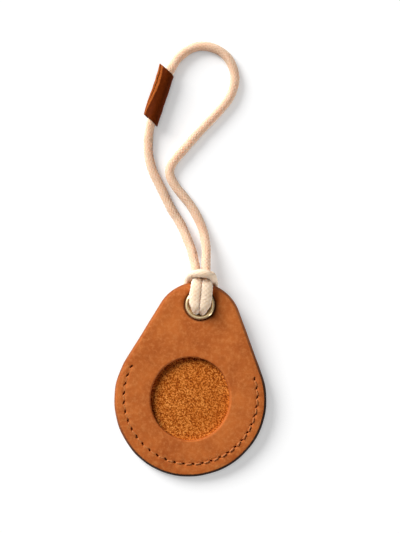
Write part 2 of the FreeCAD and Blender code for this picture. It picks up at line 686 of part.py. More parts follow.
def sleeve_axis(s):
    """Middle and direction of the tab on the cord, and its place on the table."""
    fold = s["cord_diameter"] / 2 + s["sleeve_gap"] + s["sleeve_leather"]
    top = Vec(*SLEEVE_TOP, fold)
    foot = Vec(*SLEEVE_FOOT, fold)
    along = top - foot
    along.normalize()
    middle = (top + foot) * 0.5
    turn = FreeCAD.Rotation(Vec(0, 1, 0), along)
    roll = FreeCAD.Rotation(Vec(0, 1, 0), s["sleeve_roll"])
    return middle, along, FreeCAD.Placement(middle, turn * roll)


def table_points(route, radius):
    return [Vec(x, y, under + radius) for x, y, under in route]


def build():
    doc = FreeCAD.newDocument("tag_holder")
    _, s = make_sheet(doc)
    knot = Knot(s)
    holder = holder_placement(s, knot)
    cord = s["cord_diameter"] / 2

    back = make_panel(doc, s, "back_panel", "back_thick", False)
    back.Placement = holder
    front = make_panel(doc, s, "front_panel", "front_thick", True)
    front.Placement = holder * FreeCAD.Placement(Vec(0, 0, s["back_thick"]), FreeCAD.Rotation())
    thread, turn = make_thread(doc, s)
    thread.Placement = holder * turn
    at_eyelet = FreeCAD.Placement(Vec(0, knot.top - s["eyelet_inset"], 0), FreeCAD.Rotation())
    eyelet = make_eyelet(doc, s)
    washer = make_washer(doc, s)
    for piece in (eyelet, washer):
        piece.Placement = holder * at_eyelet

    points, radii = knot.route()
    points = [holder.multVec(p) for p in points]
    hitch = add_cord(doc, "cord_knot", points, radii)
    hitch.Label = "cord_knot"
    one_bend = 2 * s["cord_diameter"]
    gap = least_self_gap(cord_path(points, radii)[0], cord, one_bend)
    print(f"cord_knot: least gap to itself {gap:.2f}")

    middle, along, sleeve_place = sleeve_axis(s)
    lead = s["sleeve_length"] / 2 + SLEEVE_LEAD
    right_start = holder.multVec(knot.swing_point(1))
    right = [right_start] + table_points(RIGHT_ROUTE, cord) + [middle + along * lead, middle]
    left_start = holder.multVec(knot.swing_point(-1))
    left = [left_start] + table_points(LEFT_ROUTE, cord) + [middle - along * lead, middle]
    legs = [add_leg(doc, "cord_right", right), add_leg(doc, "cord_left", left)]
    sleeve = make_sleeve(doc, s)
    sleeve.Placement = sleeve_place
    doc.recompute()
    print("swing axis through", [round(c, 3) for c in (right_start + left_start) * 0.5])
    print("holder tilt", round(math.degrees(holder.Rotation.Angle), 3), "base", holder.Base)
    return doc, [front, back, thread, eyelet, washer, hitch] + legs + [sleeve]


def write_parts(doc, pieces):
    """Checks every object and writes one file for each piece."""
    for thing in doc.Objects:
        if {"Invalid", "Error"} & set(thing.State):
            raise RuntimeError(f"{thing.Label} failed: {thing.State}")
    os.makedirs("parts", exist_ok=True)
    for piece in pieces:
        shape = piece.Shape
        if shape.isNull() or not shape.isValid():
            raise RuntimeError(piece.Label + " has no valid shape")
        shape.exportStep(f"parts/{piece.Label}.step")
        print(f"{piece.Label}: {len(shape.Solids)} solid, {shape.Volume:.1f} mm3")


write_parts(*build())
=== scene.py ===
"""Leather tracker tag holder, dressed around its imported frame.

Metres, in the frame's own axes: +Z up off the table, +Y from the round end towards the cord.
The leather, seam and eyelet are made in the holder's axes: x across, y along, z up from the back face.
"""

from __future__ import annotations

import json
import logging
import math
from dataclasses import dataclass, field
from enum import Enum
from typing import Any, Callable

import bmesh
import bpy
import numpy as np
from mathutils import Matrix, Vector


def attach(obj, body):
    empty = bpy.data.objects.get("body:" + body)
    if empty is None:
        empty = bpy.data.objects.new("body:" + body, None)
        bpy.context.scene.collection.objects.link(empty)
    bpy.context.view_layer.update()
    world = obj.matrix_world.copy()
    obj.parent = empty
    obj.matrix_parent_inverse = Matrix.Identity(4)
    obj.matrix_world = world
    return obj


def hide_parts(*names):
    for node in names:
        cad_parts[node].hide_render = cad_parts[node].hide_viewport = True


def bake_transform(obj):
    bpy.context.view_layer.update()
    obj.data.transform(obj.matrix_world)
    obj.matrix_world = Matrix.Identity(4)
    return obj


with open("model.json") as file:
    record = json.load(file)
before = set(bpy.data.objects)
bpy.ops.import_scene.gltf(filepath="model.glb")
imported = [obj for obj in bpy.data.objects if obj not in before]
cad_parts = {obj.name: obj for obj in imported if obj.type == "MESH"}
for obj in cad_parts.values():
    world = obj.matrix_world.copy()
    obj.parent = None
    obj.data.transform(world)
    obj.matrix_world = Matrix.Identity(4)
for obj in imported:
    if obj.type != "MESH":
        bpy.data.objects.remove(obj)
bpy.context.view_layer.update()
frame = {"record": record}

FULL_TURN = 2.0 * math.pi
HOLDER = "holder"
LOOP = "loop"
LEATHER_THICK = 0.002
STACK = 2.0 * LEATHER_THICK
LOG = logging.getLogger("tag_holder")


# Small tools for colours, nodes and meshes


def linear(hex_colour: str) -> tuple[float, float, float, float]:
    """Turns an sRGB hex colour into a linear one.

    Args:
        hex_colour: Six hex digits after a hash sign.

    Returns:
        Linear red, green, blue and an alpha of 1.
    """
    channels = [int(hex_colour[i:i + 2], 16) / 255.0 for i in (1, 3, 5)]
    red, green, blue = [
        c / 12.92 if c <= 0.04045 else ((c + 0.055) / 1.055) ** 2.4 for c in channels
    ]
    return red, green, blue, 1.0


def per_metre(millimetres: float) -> float:
    """Texture scale that repeats a pattern about every so many millimetres."""
    return 1000.0 / millimetres


def add_node(
    tree: bpy.types.NodeTree,
    kind: str,
    inputs: dict[str | int, Any] | None = None,
    **settings: Any,
) -> bpy.types.Node:
    """Adds a node with its settings, values and links.

    Args:
        tree: Node tree that takes the node.
        kind: Blender's name of the node type.
        inputs: Socket name or number, with a value or with the output socket to link.
        **settings: Properties of the node itself.

    Returns:
        The new node.
    """
    node = tree.nodes.new(kind)
    for name, value in settings.items():
        setattr(node, name, value)
    for key, value in (inputs or {}).items():
        if isinstance(value, bpy.types.NodeSocket):
            tree.links.new(value, node.inputs[key])
        else:
            node.inputs[key].default_value = value
    return node


def smooth(values: np.ndarray, low: float, high: float) -> np.ndarray:
    """Smooth step from 0 at low to 1 at high, in either direction."""
    share = np.clip((values - low) / (high - low), 0.0, 1.0)
    return share * share * (3.0 - 2.0 * share)


def undulation(x: np.ndarray, y: np.ndarray, size: float, seed: int) -> np.ndarray:
    """Gentle uneven waves over a surface.

    Args:
        x: First coordinate of each point.
        y: Second coordinate of each point.
        size: Usual length of a wave.
        seed: Picks the waves.

    Returns:
        Heights, mostly between -1 and 1.
    """
    picker = np.random.default_rng(seed)
    waves = 8
    total = np.zeros(np.broadcast(x, y).shape)
    for _ in range(waves):
        heading, phase = picker.uniform(0.0, FULL_TURN, 2)
        count = FULL_TURN / size * picker.uniform(0.6, 1.5)
        total = total + np.sin(count * (x * math.cos(heading) + y * math.sin(heading)) + phase)
    return total / math.sqrt(2.0 * waves)


def grid_mesh(name: str, points: np.ndarray, closed_rows: bool, caps: bool) -> bpy.types.Mesh:
    """Mesh of quads over rows of points, each row a closed ring.

    Args:
        name: Name of the mesh.
        points: Array of rows, columns and three coordinates.
        closed_rows: Joins the last row to the first.
        caps: Closes the first and last ring with a face.

    Returns:
        The mesh, with its faces turned outwards.
    """
    rows, columns, _ = points.shape
    numbers = np.arange(rows * columns).reshape(rows, columns)
    if closed_rows:
        numbers = np.vstack([numbers, numbers[:1]])
    after = np.roll(numbers, -1, axis=1)
    quads = np.stack([numbers[:-1], after[:-1], after[1:], numbers[1:]], axis=-1)
    faces = quads.reshape(-1, 4).tolist()
    if caps:
        faces += [numbers[0].tolist(), numbers[-1][::-1].tolist()]
    mesh = bpy.data.meshes.new(name)
    mesh.from_pydata(points.reshape(-1, 3).tolist(), [], faces)
    turn_outwards(mesh)
    return mesh


def turn_outwards(mesh: bpy.types.Mesh) -> None:
    """Makes the faces of a closed mesh face outwards, with smooth shading.

    Args:
        mesh: The mesh to change.
    """
    work = bmesh.new()
    work.from_mesh(mesh)
    bmesh.ops.recalc_face_normals(work, faces=work.faces)
    for face in work.faces:
        face.smooth = True
    work.to_mesh(mesh)
    work.free()


def add_piece(name: str, mesh: bpy.types.Mesh, place: Matrix | None = None) -> bpy.types.Object:
    """Adds an object to the scene.

    Args:
        name: Name of the piece.
        mesh: Its mesh.
        place: Its place in the frame, if the mesh isn't in the frame's axes.

    Returns:
        The object.
    """
    piece = bpy.data.objects.new(name, mesh)
    bpy.context.scene.collection.objects.link(piece)
    if place is not None:
        piece.matrix_world = place
    return piece


def store(mesh: bpy.types.Mesh, name: str, values: np.ndarray) -> None:
    """Keeps one number for each point of a mesh, for its finish to read."""
    attribute = mesh.attributes.new(name, "FLOAT", "POINT")
    attribute.data.foreach_set("value", np.asarray(values, np.float32).ravel())


def coordinates(mesh: bpy.types.Mesh) -> np.ndarray:
    """Points of a mesh as an array.

    Args:
        mesh: The mesh to read.

    Returns:
        One row of three coordinates for each point.
    """
    flat = np.zeros(len(mesh.vertices) * 3, np.float32)
    mesh.vertices.foreach_get("co", flat)
    return flat.reshape(-1, 3).astype(float)


def turned(profile: list[tuple[float, float]], centre: Vector, columns: int) -> np.ndarray:
    """Rings of points for a profile turned about an upright axis.

    Args:
        profile: Radius and height of each corner.
        centre: Foot of the axis.
        columns: Points round each ring.

    Returns:
        Array of rows, columns and three coordinates.
    """
    angle = np.linspace(0.0, FULL_TURN, columns, endpoint=False)
    radius, height = np.array(profile).T
    x = centre.x + np.outer(radius, np.cos(angle))
    y = centre.y + np.outer(radius, np.sin(angle))
    z = np.repeat((centre.z + height)[:, None], columns, axis=1)
    return np.stack([x, y, z], axis=-1)


# Finishes


class Finish:
    """A surface finish: one node material, named for the real material."""

    name: str

    def shade(self, tree: bpy.types.NodeTree, place: bpy.types.NodeSocket) -> dict[str, Any]:
        """Adds the finish's own nodes.

        Args:
            tree: Node tree of the material.
            place: Position on the piece, in metres.

        Returns:
            Inputs of the surface shader.
        """
        raise NotImplementedError

    def build(self) -> bpy.types.Material:
        """Makes the material.

        Returns:
            The material, with its surface linked.
        """
        material = bpy.data.materials.new(self.name)
        material.use_nodes = True
        tree = material.node_tree
        tree.nodes.clear()
        place = add_node(tree, "ShaderNodeTexCoord").outputs["Object"]
        shader = add_node(tree, "ShaderNodeBsdfPrincipled", self.shade(tree, place))
        add_node(tree, "ShaderNodeOutputMaterial", {"Surface": shader.outputs["BSDF"]})
        return material


@dataclass(frozen=True)
class OiledLeather(Finish):
    """Vegetable-tanned leather with an oiled, waxed grain side.

    Pressing and bending move the oil about, so the tan is cloudy, with pale scuffs and a few fine
    scratches over a very fine grain. The cut edges are dyed and rubbed, which leaves them dark and
    smooth; towards the lower right their colour is darker still as painted shade. The dark line
    round the eyelet's ring is partly pressed into the leather and partly painted shade.
    """

    ring_middle: float
    ring_edge: float
    name: str = "oiled_tan_leather"
    tan: str = "#c96d2f"
    dark: str = "#a9531f"
    pale: str = "#d7894b"
    # Dark dye of the cut edges; towards the lower right this colour also stands in as painted shade
    rubbed: str = "#261206"
    # Near-black line round the eyelet: pressed darkening and painted shade at the ring's foot
    pressed: str = "#2c1004"
    press_width: float = 0.0009
    cloud_mm: float = 9.0
    mottle_mm: float = 1.25
    # Pores are too fine to show, so the grain is drawn coarser
    grain_mm: float = 0.45
    scratch_mm: float = 0.5
    scratch_length_mm: float = 14.0
    scratch_depth_mm: float = 3.0
    scratch_turn: float = math.radians(58.0)
    grain_depth: float = 0.00005

    def shade(self, tree: bpy.types.NodeTree, place: bpy.types.NodeSocket) -> dict[str, Any]:
        """Cloudy tan with grain, scratches and rubbed edges.

        Args:
            tree: Node tree of the material.
            place: Position on the piece, in metres.

        Returns:
            Inputs of the surface shader.
        """
        cloud = add_node(tree, "ShaderNodeTexNoise", {
            "Vector": place, "Scale": per_metre(self.cloud_mm), "Detail": 5.0, "Roughness": 0.6,
        })
        mottle = add_node(tree, "ShaderNodeTexNoise", {
            "Vector": place, "Scale": per_metre(self.mottle_mm), "Detail": 5.0, "Roughness": 0.75,
        })
        depth = add_node(tree, "ShaderNodeMapRange", {
            "Value": cloud.outputs["Fac"], "From Min": 0.32, "From Max": 0.7,
        })
        base = add_node(tree, "ShaderNodeMix", {
            0: depth.outputs["Result"], 6: linear(self.dark), 7: linear(self.tan),
        }, data_type="RGBA")
        scuff = add_node(tree, "ShaderNodeMapRange", {
            "Value": mottle.outputs["Fac"], "From Min": 0.46, "From Max": 0.72, "To Max": 0.7,
        })
        scuffed = add_node(tree, "ShaderNodeMix", {
            0: scuff.outputs["Result"], 6: base.outputs[2], 7: linear(self.pale),
        }, data_type="RGBA")
        lines = self.scratches(tree, place)
        scratched = add_node(tree, "ShaderNodeMix", {
            0: lines, 6: scuffed.outputs[2], 7: linear(self.pale),
        }, data_type="RGBA")
        # Edge dye, and painted shade towards the lower right
        edge = add_node(tree, "ShaderNodeAttribute", attribute_name="rubbed")
        colour = add_node(tree, "ShaderNodeMix", {
            0: edge.outputs["Fac"], 6: scratched.outputs[2], 7: linear(self.rubbed),
        }, data_type="RGBA")
        # Painted shade and pressed darkening round the eyelet's ring
        stained = add_node(tree, "ShaderNodeMix", {
            0: self.ring_line_and_shade(tree, place), 6: colour.outputs[2], 7: linear(self.pressed),
        }, data_type="RGBA")
        gloss = add_node(tree, "ShaderNodeMapRange", {
            "Value": edge.outputs["Fac"], "To Min": 0.7, "To Max": 0.6,
        })
        wax = add_node(tree, "ShaderNodeMapRange", {
            "Value": edge.outputs["Fac"], "To Min": 0.12, "To Max": 0.06,
        })
        return {
            "Base Color": stained.outputs[2],
            "Roughness": gloss.outputs["Result"],
            "Specular IOR Level": wax.outputs["Result"],
            "Normal": self.grain(tree, place, mottle.outputs["Fac"]),
        }

    def ring_line_and_shade(self, tree: bpy.types.NodeTree, place: bpy.types.NodeSocket) -> bpy.types.NodeSocket:
        """Dark line round the eyelet's ring: pressed into the leather, and painted shade where the ring
        meets it.

        Args:
            tree: Node tree of the material.
            place: Position on the piece.

        Returns:
            Strength of the line.
        """
        flat = add_node(tree, "ShaderNodeVectorMath", {0: place, 1: (1.0, 1.0, 0.0)}, operation="MULTIPLY")
        reach = add_node(tree, "ShaderNodeVectorMath", {
            0: flat.outputs["Vector"], 1: (0.0, self.ring_middle, 0.0),
        }, operation="DISTANCE")
        line = add_node(tree, "ShaderNodeMapRange", {
            "Value": reach.outputs["Value"], "From Min": self.ring_edge + self.press_width,
            "From Max": self.ring_edge, "To Max": 0.9,
        }, interpolation_type="SMOOTHSTEP")
        return line.outputs["Result"]

    def scratches(self, tree: bpy.types.NodeTree, place: bpy.types.NodeSocket) -> bpy.types.NodeSocket:
        """Few fine lines, long in one slanting direction.

        Args:
            tree: Node tree of the material.
            place: Position on the piece.

        Returns:
            Strength of the lines.
        """
        stretch = add_node(tree, "ShaderNodeMapping", {
            "Vector": place,
            "Rotation": (0.0, 0.0, self.scratch_turn),
            "Scale": (
                per_metre(self.scratch_length_mm),
                per_metre(self.scratch_mm),
                per_metre(self.scratch_depth_mm),
            ),
        })
        streak = add_node(tree, "ShaderNodeTexNoise", {
            "Vector": stretch.outputs["Vector"], "Scale": 1.0, "Detail": 1.0, "Distortion": 0.2,
        })
        line = add_node(tree, "ShaderNodeMapRange", {
            "Value": streak.outputs["Fac"], "From Min": 0.74, "From Max": 0.8, "To Max": 0.45,
        })
        return line.outputs["Result"]

    def grain(
        self,
        tree: bpy.types.NodeTree,
        place: bpy.types.NodeSocket,
        mottle: bpy.types.NodeSocket,
    ) -> bpy.types.NodeSocket:
        """Fine creased grain over the softer mottling.

        Args:
            tree: Node tree of the material.
            place: Position on the piece.
            mottle: The coarser unevenness.

        Returns:
            The surface normal.
        """
        cells = add_node(tree, "ShaderNodeTexVoronoi", {
            "Vector": place, "Scale": per_metre(self.grain_mm), "Randomness": 1.0,
        }, feature="SMOOTH_F1")
        soft = add_node(tree, "ShaderNodeBump", {
            "Height": mottle, "Strength": 0.35, "Distance": 2.0 * self.grain_depth,
        })
        fine = add_node(tree, "ShaderNodeBump", {
            "Height": cells.outputs["Distance"], "Strength": 0.3, "Distance": self.grain_depth,
            "Normal": soft.outputs["Normal"],
        })
        return fine.outputs["Normal"]


@dataclass(frozen=True)
class Suede(Finish):
    """Flesh side of the same leather: a short loose nap.

    The nap lies in small tufts that catch or lose the light, so it looks speckled, pale on dark
    orange, and has no shine at all.
    """

    name: str = "leather_flesh_side"
    deep: str = "#783106"
    tan: str = "#cb671a"
    pale: str = "#f6ab55"
    # Single fibres are too fine to show, so the pattern is as coarse as their tufts
    tuft_mm: float = 0.45
    cloud_mm: float = 7.0
    nap_depth: float = 0.00012

    def shade(self, tree: bpy.types.NodeTree, place: bpy.types.NodeSocket) -> dict[str, Any]:
        """Speckled matt nap.

        Args:
            tree: Node tree of the material.
            place: Position on the piece, in metres.

        Returns:
            Inputs of the surface shader.
        """
        tufts = add_node(tree, "ShaderNodeTexNoise", {
            "Vector": place, "Scale": per_metre(self.tuft_mm), "Detail": 3.0, "Roughness": 0.6,
            "Distortion": 0.25,
        })
        cloud = add_node(tree, "ShaderNodeTexNoise", {
            "Vector": place, "Scale": per_metre(self.cloud_mm), "Detail": 3.0,
        })
        low = add_node(tree, "ShaderNodeMapRange", {
            "Value": tufts.outputs["Fac"], "From Min": 0.36, "From Max": 0.54,
        })
        high = add_node(tree, "ShaderNodeMapRange", {
            "Value": tufts.outputs["Fac"], "From Min": 0.49, "From Max": 0.68,
        })
        worn = add_node(tree, "ShaderNodeMapRange", {
            "Value": cloud.outputs["Fac"], "From Min": 0.35, "From Max": 0.7, "To Min": 1.0, "To Max": 0.55,
        })
        lit = add_node(tree, "ShaderNodeMath", {
            0: high.outputs["Result"], 1: worn.outputs["Result"],
        }, operation="MULTIPLY")
        ground = add_node(tree, "ShaderNodeMix", {
            0: low.outputs["Result"], 6: linear(self.deep), 7: linear(self.tan),
        }, data_type="RGBA")
        colour = add_node(tree, "ShaderNodeMix", {
            0: lit.outputs[0], 6: ground.outputs[2], 7: linear(self.pale),
        }, data_type="RGBA")
        nap = add_node(tree, "ShaderNodeBump", {
            "Height": tufts.outputs["Fac"], "Strength": 0.8, "Distance": self.nap_depth,
        })
        return {
            "Base Color": colour.outputs[2],
            "Roughness": 0.95,
            "Specular IOR Level": 0.1,
            "Normal": nap.outputs["Normal"],
        }


@dataclass(frozen=True)
class DyedLeather(Finish):
    """Dark dyed leather of the tab: a smooth finished grain that is nearly even in colour.

    It has a soft waxy gloss, faint creases across the fold and a little paler rubbing.
    """

    name: str = "dark_dyed_leather"
    brown: str = "#582003"
    rubbed: str = "#78330b"
    crease_mm: float = 1.1
    # Pores are too fine to show, so the grain is drawn coarser
    grain_mm: float = 0.35
    grain_depth: float = 0.00004

    def shade(self, tree: bpy.types.NodeTree, place: bpy.types.NodeSocket) -> dict[str, Any]:
        """Dark brown with faint rubbing and creases.

        Args:
            tree: Node tree of the material.
            place: Position on the piece, in metres.

        Returns:
            Inputs of the surface shader.
        """
        crease = add_node(tree, "ShaderNodeTexNoise", {
            "Vector": place, "Scale": per_metre(self.crease_mm), "Detail": 5.0, "Roughness": 0.65,
        })
        rub = add_node(tree, "ShaderNodeMapRange", {
            "Value": crease.outputs["Fac"], "From Min": 0.48, "From Max": 0.78, "To Max": 0.7,
        })
        colour = add_node(tree, "ShaderNodeMix", {
            0: rub.outputs["Result"], 6: linear(self.brown), 7: linear(self.rubbed),
        }, data_type="RGBA")
        gloss = add_node(tree, "ShaderNodeMapRange", {
            "Value": crease.outputs["Fac"], "To Min": 0.55, "To Max": 0.75,
        })
        cells = add_node(tree, "ShaderNodeTexVoronoi", {
            "Vector": place, "Scale": per_metre(self.grain_mm),
        }, feature="SMOOTH_F1")
        soft = add_node(tree, "ShaderNodeBump", {
            "Height": crease.outputs["Fac"], "Strength": 0.4, "Distance": 2.0 * self.grain_depth,
        })
        fine = add_node(tree, "ShaderNodeBump", {
            "Height": cells.outputs["Distance"], "Strength": 0.3, "Distance": self.grain_depth,
            "Normal": soft.outputs["Normal"],
        })
        return {
            "Base Color": colour.outputs[2],
            "Roughness": gloss.outputs["Result"],
            "Specular IOR Level": 0.03,
            "Normal": fine.outputs["Normal"],
        }


@dataclass(frozen=True)
class CutEdge(Finish):
    """Raw cut edge of leather: undyed orange-tan fibres, matt and a little ragged."""

    name: str = "raw_leather_edge"
    tan: str = "#ad591f"
    deep: str = "#6e320c"
    # Single fibres are too fine to show, so bundles of them are drawn
    fibre_mm: float = 0.3
    fibre_depth: float = 0.00008

    def shade(self, tree: bpy.types.NodeTree, place: bpy.types.NodeSocket) -> dict[str, Any]:
        """Fibrous orange-tan.

        Args:
            tree: Node tree of the material.
            place: Position on the piece, in metres.

        Returns:
            Inputs of the surface shader.
        """
        fibres = add_node(tree, "ShaderNodeTexNoise", {
            "Vector": place, "Scale": per_metre(self.fibre_mm), "Detail": 4.0, "Roughness": 0.7,
        })
        depth = add_node(tree, "ShaderNodeMapRange", {
            "Value": fibres.outputs["Fac"], "From Min": 0.35, "From Max": 0.6,
        })
        colour = add_node(tree, "ShaderNodeMix", {
            0: depth.outputs["Result"], 6: linear(self.deep), 7: linear(self.tan),
        }, data_type="RGBA")
        ragged = add_node(tree, "ShaderNodeBump", {
            "Height": fibres.outputs["Fac"], "Strength": 0.7, "Distance": self.fibre_depth,
        })
        return {
            "Base Color": colour.outputs[2],
            "Roughness": 0.9,
            "Specular IOR Level": 0.15,
            "Normal": ragged.outputs["Normal"],
        }


@dataclass(frozen=True)
class WaxedThread(Finish):
    """Twisted polyester thread, waxed: peach-tan, with a dull waxy gloss on its plies."""

    name: str = "waxed_thread"
    crest: str = "#c87e45"
    # Painted shade where the plies meet
    groove: str = "#a0592a"
    # Single fibres are too fine to show, so bundles of them are drawn
    fibre_mm: float = 0.18

    def shade(self, tree: bpy.types.NodeTree, place: bpy.types.NodeSocket) -> dict[str, Any]:
        """Plies with painted shade where they meet.

        Args:
            tree: Node tree of the material.
            place: Position on the piece, in metres.

        Returns:
            Inputs of the surface shader.
        """
        ply = add_node(tree, "ShaderNodeAttribute", attribute_name="crest")
        fibres = add_node(tree, "ShaderNodeTexNoise", {
            "Vector": place, "Scale": per_metre(self.fibre_mm), "Detail": 2.0,
        })
        mixed = add_node(tree, "ShaderNodeMath", {
            0: ply.outputs["Fac"], 1: fibres.outputs["Fac"], 2: 0.3,
        }, operation="MULTIPLY_ADD")
        colour = add_node(tree, "ShaderNodeMix", {
            0: mixed.outputs[0], 6: linear(self.groove), 7: linear(self.crest),
        }, data_type="RGBA")
        return {
            "Base Color": colour.outputs[2],
            "Roughness": 0.55,
            "Specular IOR Level": 0.25,
        }


@dataclass(frozen=True)
class CottonBraid(Finish):
    """Braided undyed cotton: matt cream yarns with painted shade in the gaps, and a little fuzz.

    Light passes a little way through the loose fibres, so the shaded side stays warm. The fuzz shows
    as a faint sheen, and soft patches of the yarn are a shade darker.
    """

    name: str = "cotton_braid"
    crest: str = "#eac7ab"
    # Painted shade in the gaps between yarns
    gap: str = "#cba079"
    stained: str = "#e4bea1"
    glow_depth: float = 0.0024
    # Single fibres are too fine to show, so bundles of them are drawn
    fibre_mm: float = 0.16
    patch_mm: float = 5.0
    fibre_depth: float = 0.00004

    def shade(self, tree: bpy.types.NodeTree, place: bpy.types.NodeSocket) -> dict[str, Any]:
        """Cream yarns with painted shade in the gaps, and darker patches.

        Args:
            tree: Node tree of the material.
            place: Position on the piece, in metres.

        Returns:
            Inputs of the surface shader.
        """
        yarn = add_node(tree, "ShaderNodeAttribute", attribute_name="crest")
        patches = add_node(tree, "ShaderNodeTexNoise", {
            "Vector": place, "Scale": per_metre(self.patch_mm), "Detail": 4.0,
        })
        stain = add_node(tree, "ShaderNodeMapRange", {
            "Value": patches.outputs["Fac"], "From Min": 0.45, "From Max": 0.72, "To Max": 0.75,
        })
        cream = add_node(tree, "ShaderNodeMix", {
            0: stain.outputs["Result"], 6: linear(self.crest), 7: linear(self.stained),
        }, data_type="RGBA")
        raised = add_node(tree, "ShaderNodeMapRange", {
            "Value": yarn.outputs["Fac"], "From Min": 0.05, "From Max": 0.6,
        })
        # Painted shade: the gaps between yarns are drawn darker
        colour = add_node(tree, "ShaderNodeMix", {
            0: raised.outputs["Result"], 6: linear(self.gap), 7: cream.outputs[2],
        }, data_type="RGBA")
        fibres = add_node(tree, "ShaderNodeTexNoise", {
            "Vector": place, "Scale": per_metre(self.fibre_mm), "Detail": 3.0, "Roughness": 0.7,
        })
        fuzz = add_node(tree, "ShaderNodeBump", {
            "Height": fibres.outputs["Fac"], "Strength": 0.6, "Distance": self.fibre_depth,
        })
        return {
            "Base Color": colour.outputs[2],
            "Roughness": 0.9,
            "Specular IOR Level": 0.1,
            "Subsurface Weight": 0.7,
            "Subsurface Radius": (1.0, 0.96, 0.92),
            "Subsurface Scale": self.glow_depth,
            "Sheen Weight": 0.03,
            "Sheen Roughness": 0.5,
            "Normal": fuzz.outputs["Normal"],
        }


@dataclass(frozen=True)
class AgedBrass(Finish):
    """Pressed brass, chemically aged and then buffed.

    The raised round is bright and satin, and a brown film is left in the low places and in spots.
    """

    name: str = "aged_brass"
    bright: str = "#cdb78f"
    film: str = "#86693f"
    spot_mm: float = 1.3
    # Single buffing marks are too fine to show, so the pattern is coarser
    buff_mm: float = 0.25
    buff_depth: float = 0.00002

    def shade(self, tree: bpy.types.NodeTree, place: bpy.types.NodeSocket) -> dict[str, Any]:
        """Satin brass with a brown film.

        Args:
            tree: Node tree of the material.
            place: Position on the piece, in metres.

        Returns:
            Inputs of the surface shader.
        """
        low = add_node(tree, "ShaderNodeAttribute", attribute_name="film")
        spots = add_node(tree, "ShaderNodeTexNoise", {
            "Vector": place, "Scale": per_metre(self.spot_mm), "Detail": 4.0, "Roughness": 0.6,
        })
        spotted = add_node(tree, "ShaderNodeMapRange", {
            "Value": spots.outputs["Fac"], "From Min": 0.5, "From Max": 0.75, "To Max": 0.5,
        })
        filmed = add_node(tree, "ShaderNodeMath", {
            0: low.outputs["Fac"], 1: spotted.outputs["Result"],
        }, operation="MAXIMUM")
        colour = add_node(tree, "ShaderNodeMix", {
            0: filmed.outputs[0], 6: linear(self.bright), 7: linear(self.film),
        }, data_type="RGBA")
        gloss = add_node(tree, "ShaderNodeMapRange", {
            "Value": filmed.outputs[0], "To Min": 0.27, "To Max": 0.5,
        })
        buffing = add_node(tree, "ShaderNodeTexNoise", {
            "Vector": place, "Scale": per_metre(self.buff_mm), "Detail": 2.0,
        })
        scuffs = add_node(tree, "ShaderNodeBump", {
            "Height": buffing.outputs["Fac"], "Strength": 0.12, "Distance": self.buff_depth,
        })
        bare = add_node(tree, "ShaderNodeMapRange", {
            "Value": low.outputs["Fac"], "To Min": 1.0, "To Max": 0.3,
        })
        return {
            "Base Color": colour.outputs[2],
            "Metallic": bare.outputs["Result"],
            "Roughness": gloss.outputs["Result"],
            "Normal": scuffs.outputs["Normal"],
        }


# The holder: leather, seam and eyelet


@dataclass(frozen=True)
class Outline:
    """Outline of both panels: two round ends and the lines that touch both."""

    fob_radius: float = 0.025
    top_radius: float = 0.01435
    end_spacing: float = 0.0245
    overcut: float = 0.00012
    bulge: float = 0.0004
    bulge_middle: float = math.radians(-112.0)
    bulge_half: float = math.radians(52.0)

    def spread(self, angle: np.ndarray) -> np.ndarray:
        """How far the hand-cut edge stands outside the drawn outline, most at the lower left."""
        away = np.abs((angle - self.bulge_middle + math.pi) % FULL_TURN - math.pi)
        return self.overcut + self.bulge * smooth(away, self.bulge_half, 0.0)

    def lean(self) -> float:
        """Angle of the touching lines' outward direction above the x axis."""
        return math.asin((self.fob_radius - self.top_radius) / self.end_spacing)

    def reach(self, angle: np.ndarray, inset: float) -> np.ndarray:
        """Distance from the window's centre out to the outline.

        Args:
            angle: Directions, from the x axis.
            inset: How far inside the outline to stop.

        Returns:
            The distances.
        """
        low = self.fob_radius - inset
        high = self.top_radius - inset
        lean = self.lean()
        side = np.arctan2(np.sin(angle), np.abs(np.cos(angle)))
        touch_x = high * math.cos(lean)
        touch_y = self.end_spacing + high * math.sin(lean)
        upper = math.atan2(touch_y, touch_x)
        line = low / np.cos(np.clip(side, lean, upper) - lean)
        rise = self.end_spacing * np.sin(side)
        across = self.end_spacing * np.cos(side)
        top = rise + np.sqrt(np.maximum(high ** 2 - across ** 2, 0.0))
        drawn = np.where(side <= lean, low, np.where(side <= upper, line, top))
        return drawn + self.spread(angle)

    def inset(self, x: np.ndarray, y: np.ndarray) -> np.ndarray:
        """How far inside the outline points lie.

        Args:
            x: Across the holder.
            y: Along the holder.

        Returns:
            Distances to the outline, positive inside.
        """
        lean = self.lean()
        side = np.abs(x)
        out = side * math.cos(lean) + y * math.sin(lean)
        along = y * math.cos(lean) - side * math.sin(lean)
        low = self.fob_radius - np.hypot(side, y)
        high = self.top_radius - np.hypot(side, y - self.end_spacing)
        line = self.fob_radius - out
        drawn = np.where(along < 0.0, low, np.where(along < self.end_spacing * math.cos(lean), line, high))
        return drawn + self.spread(np.arctan2(y, x))


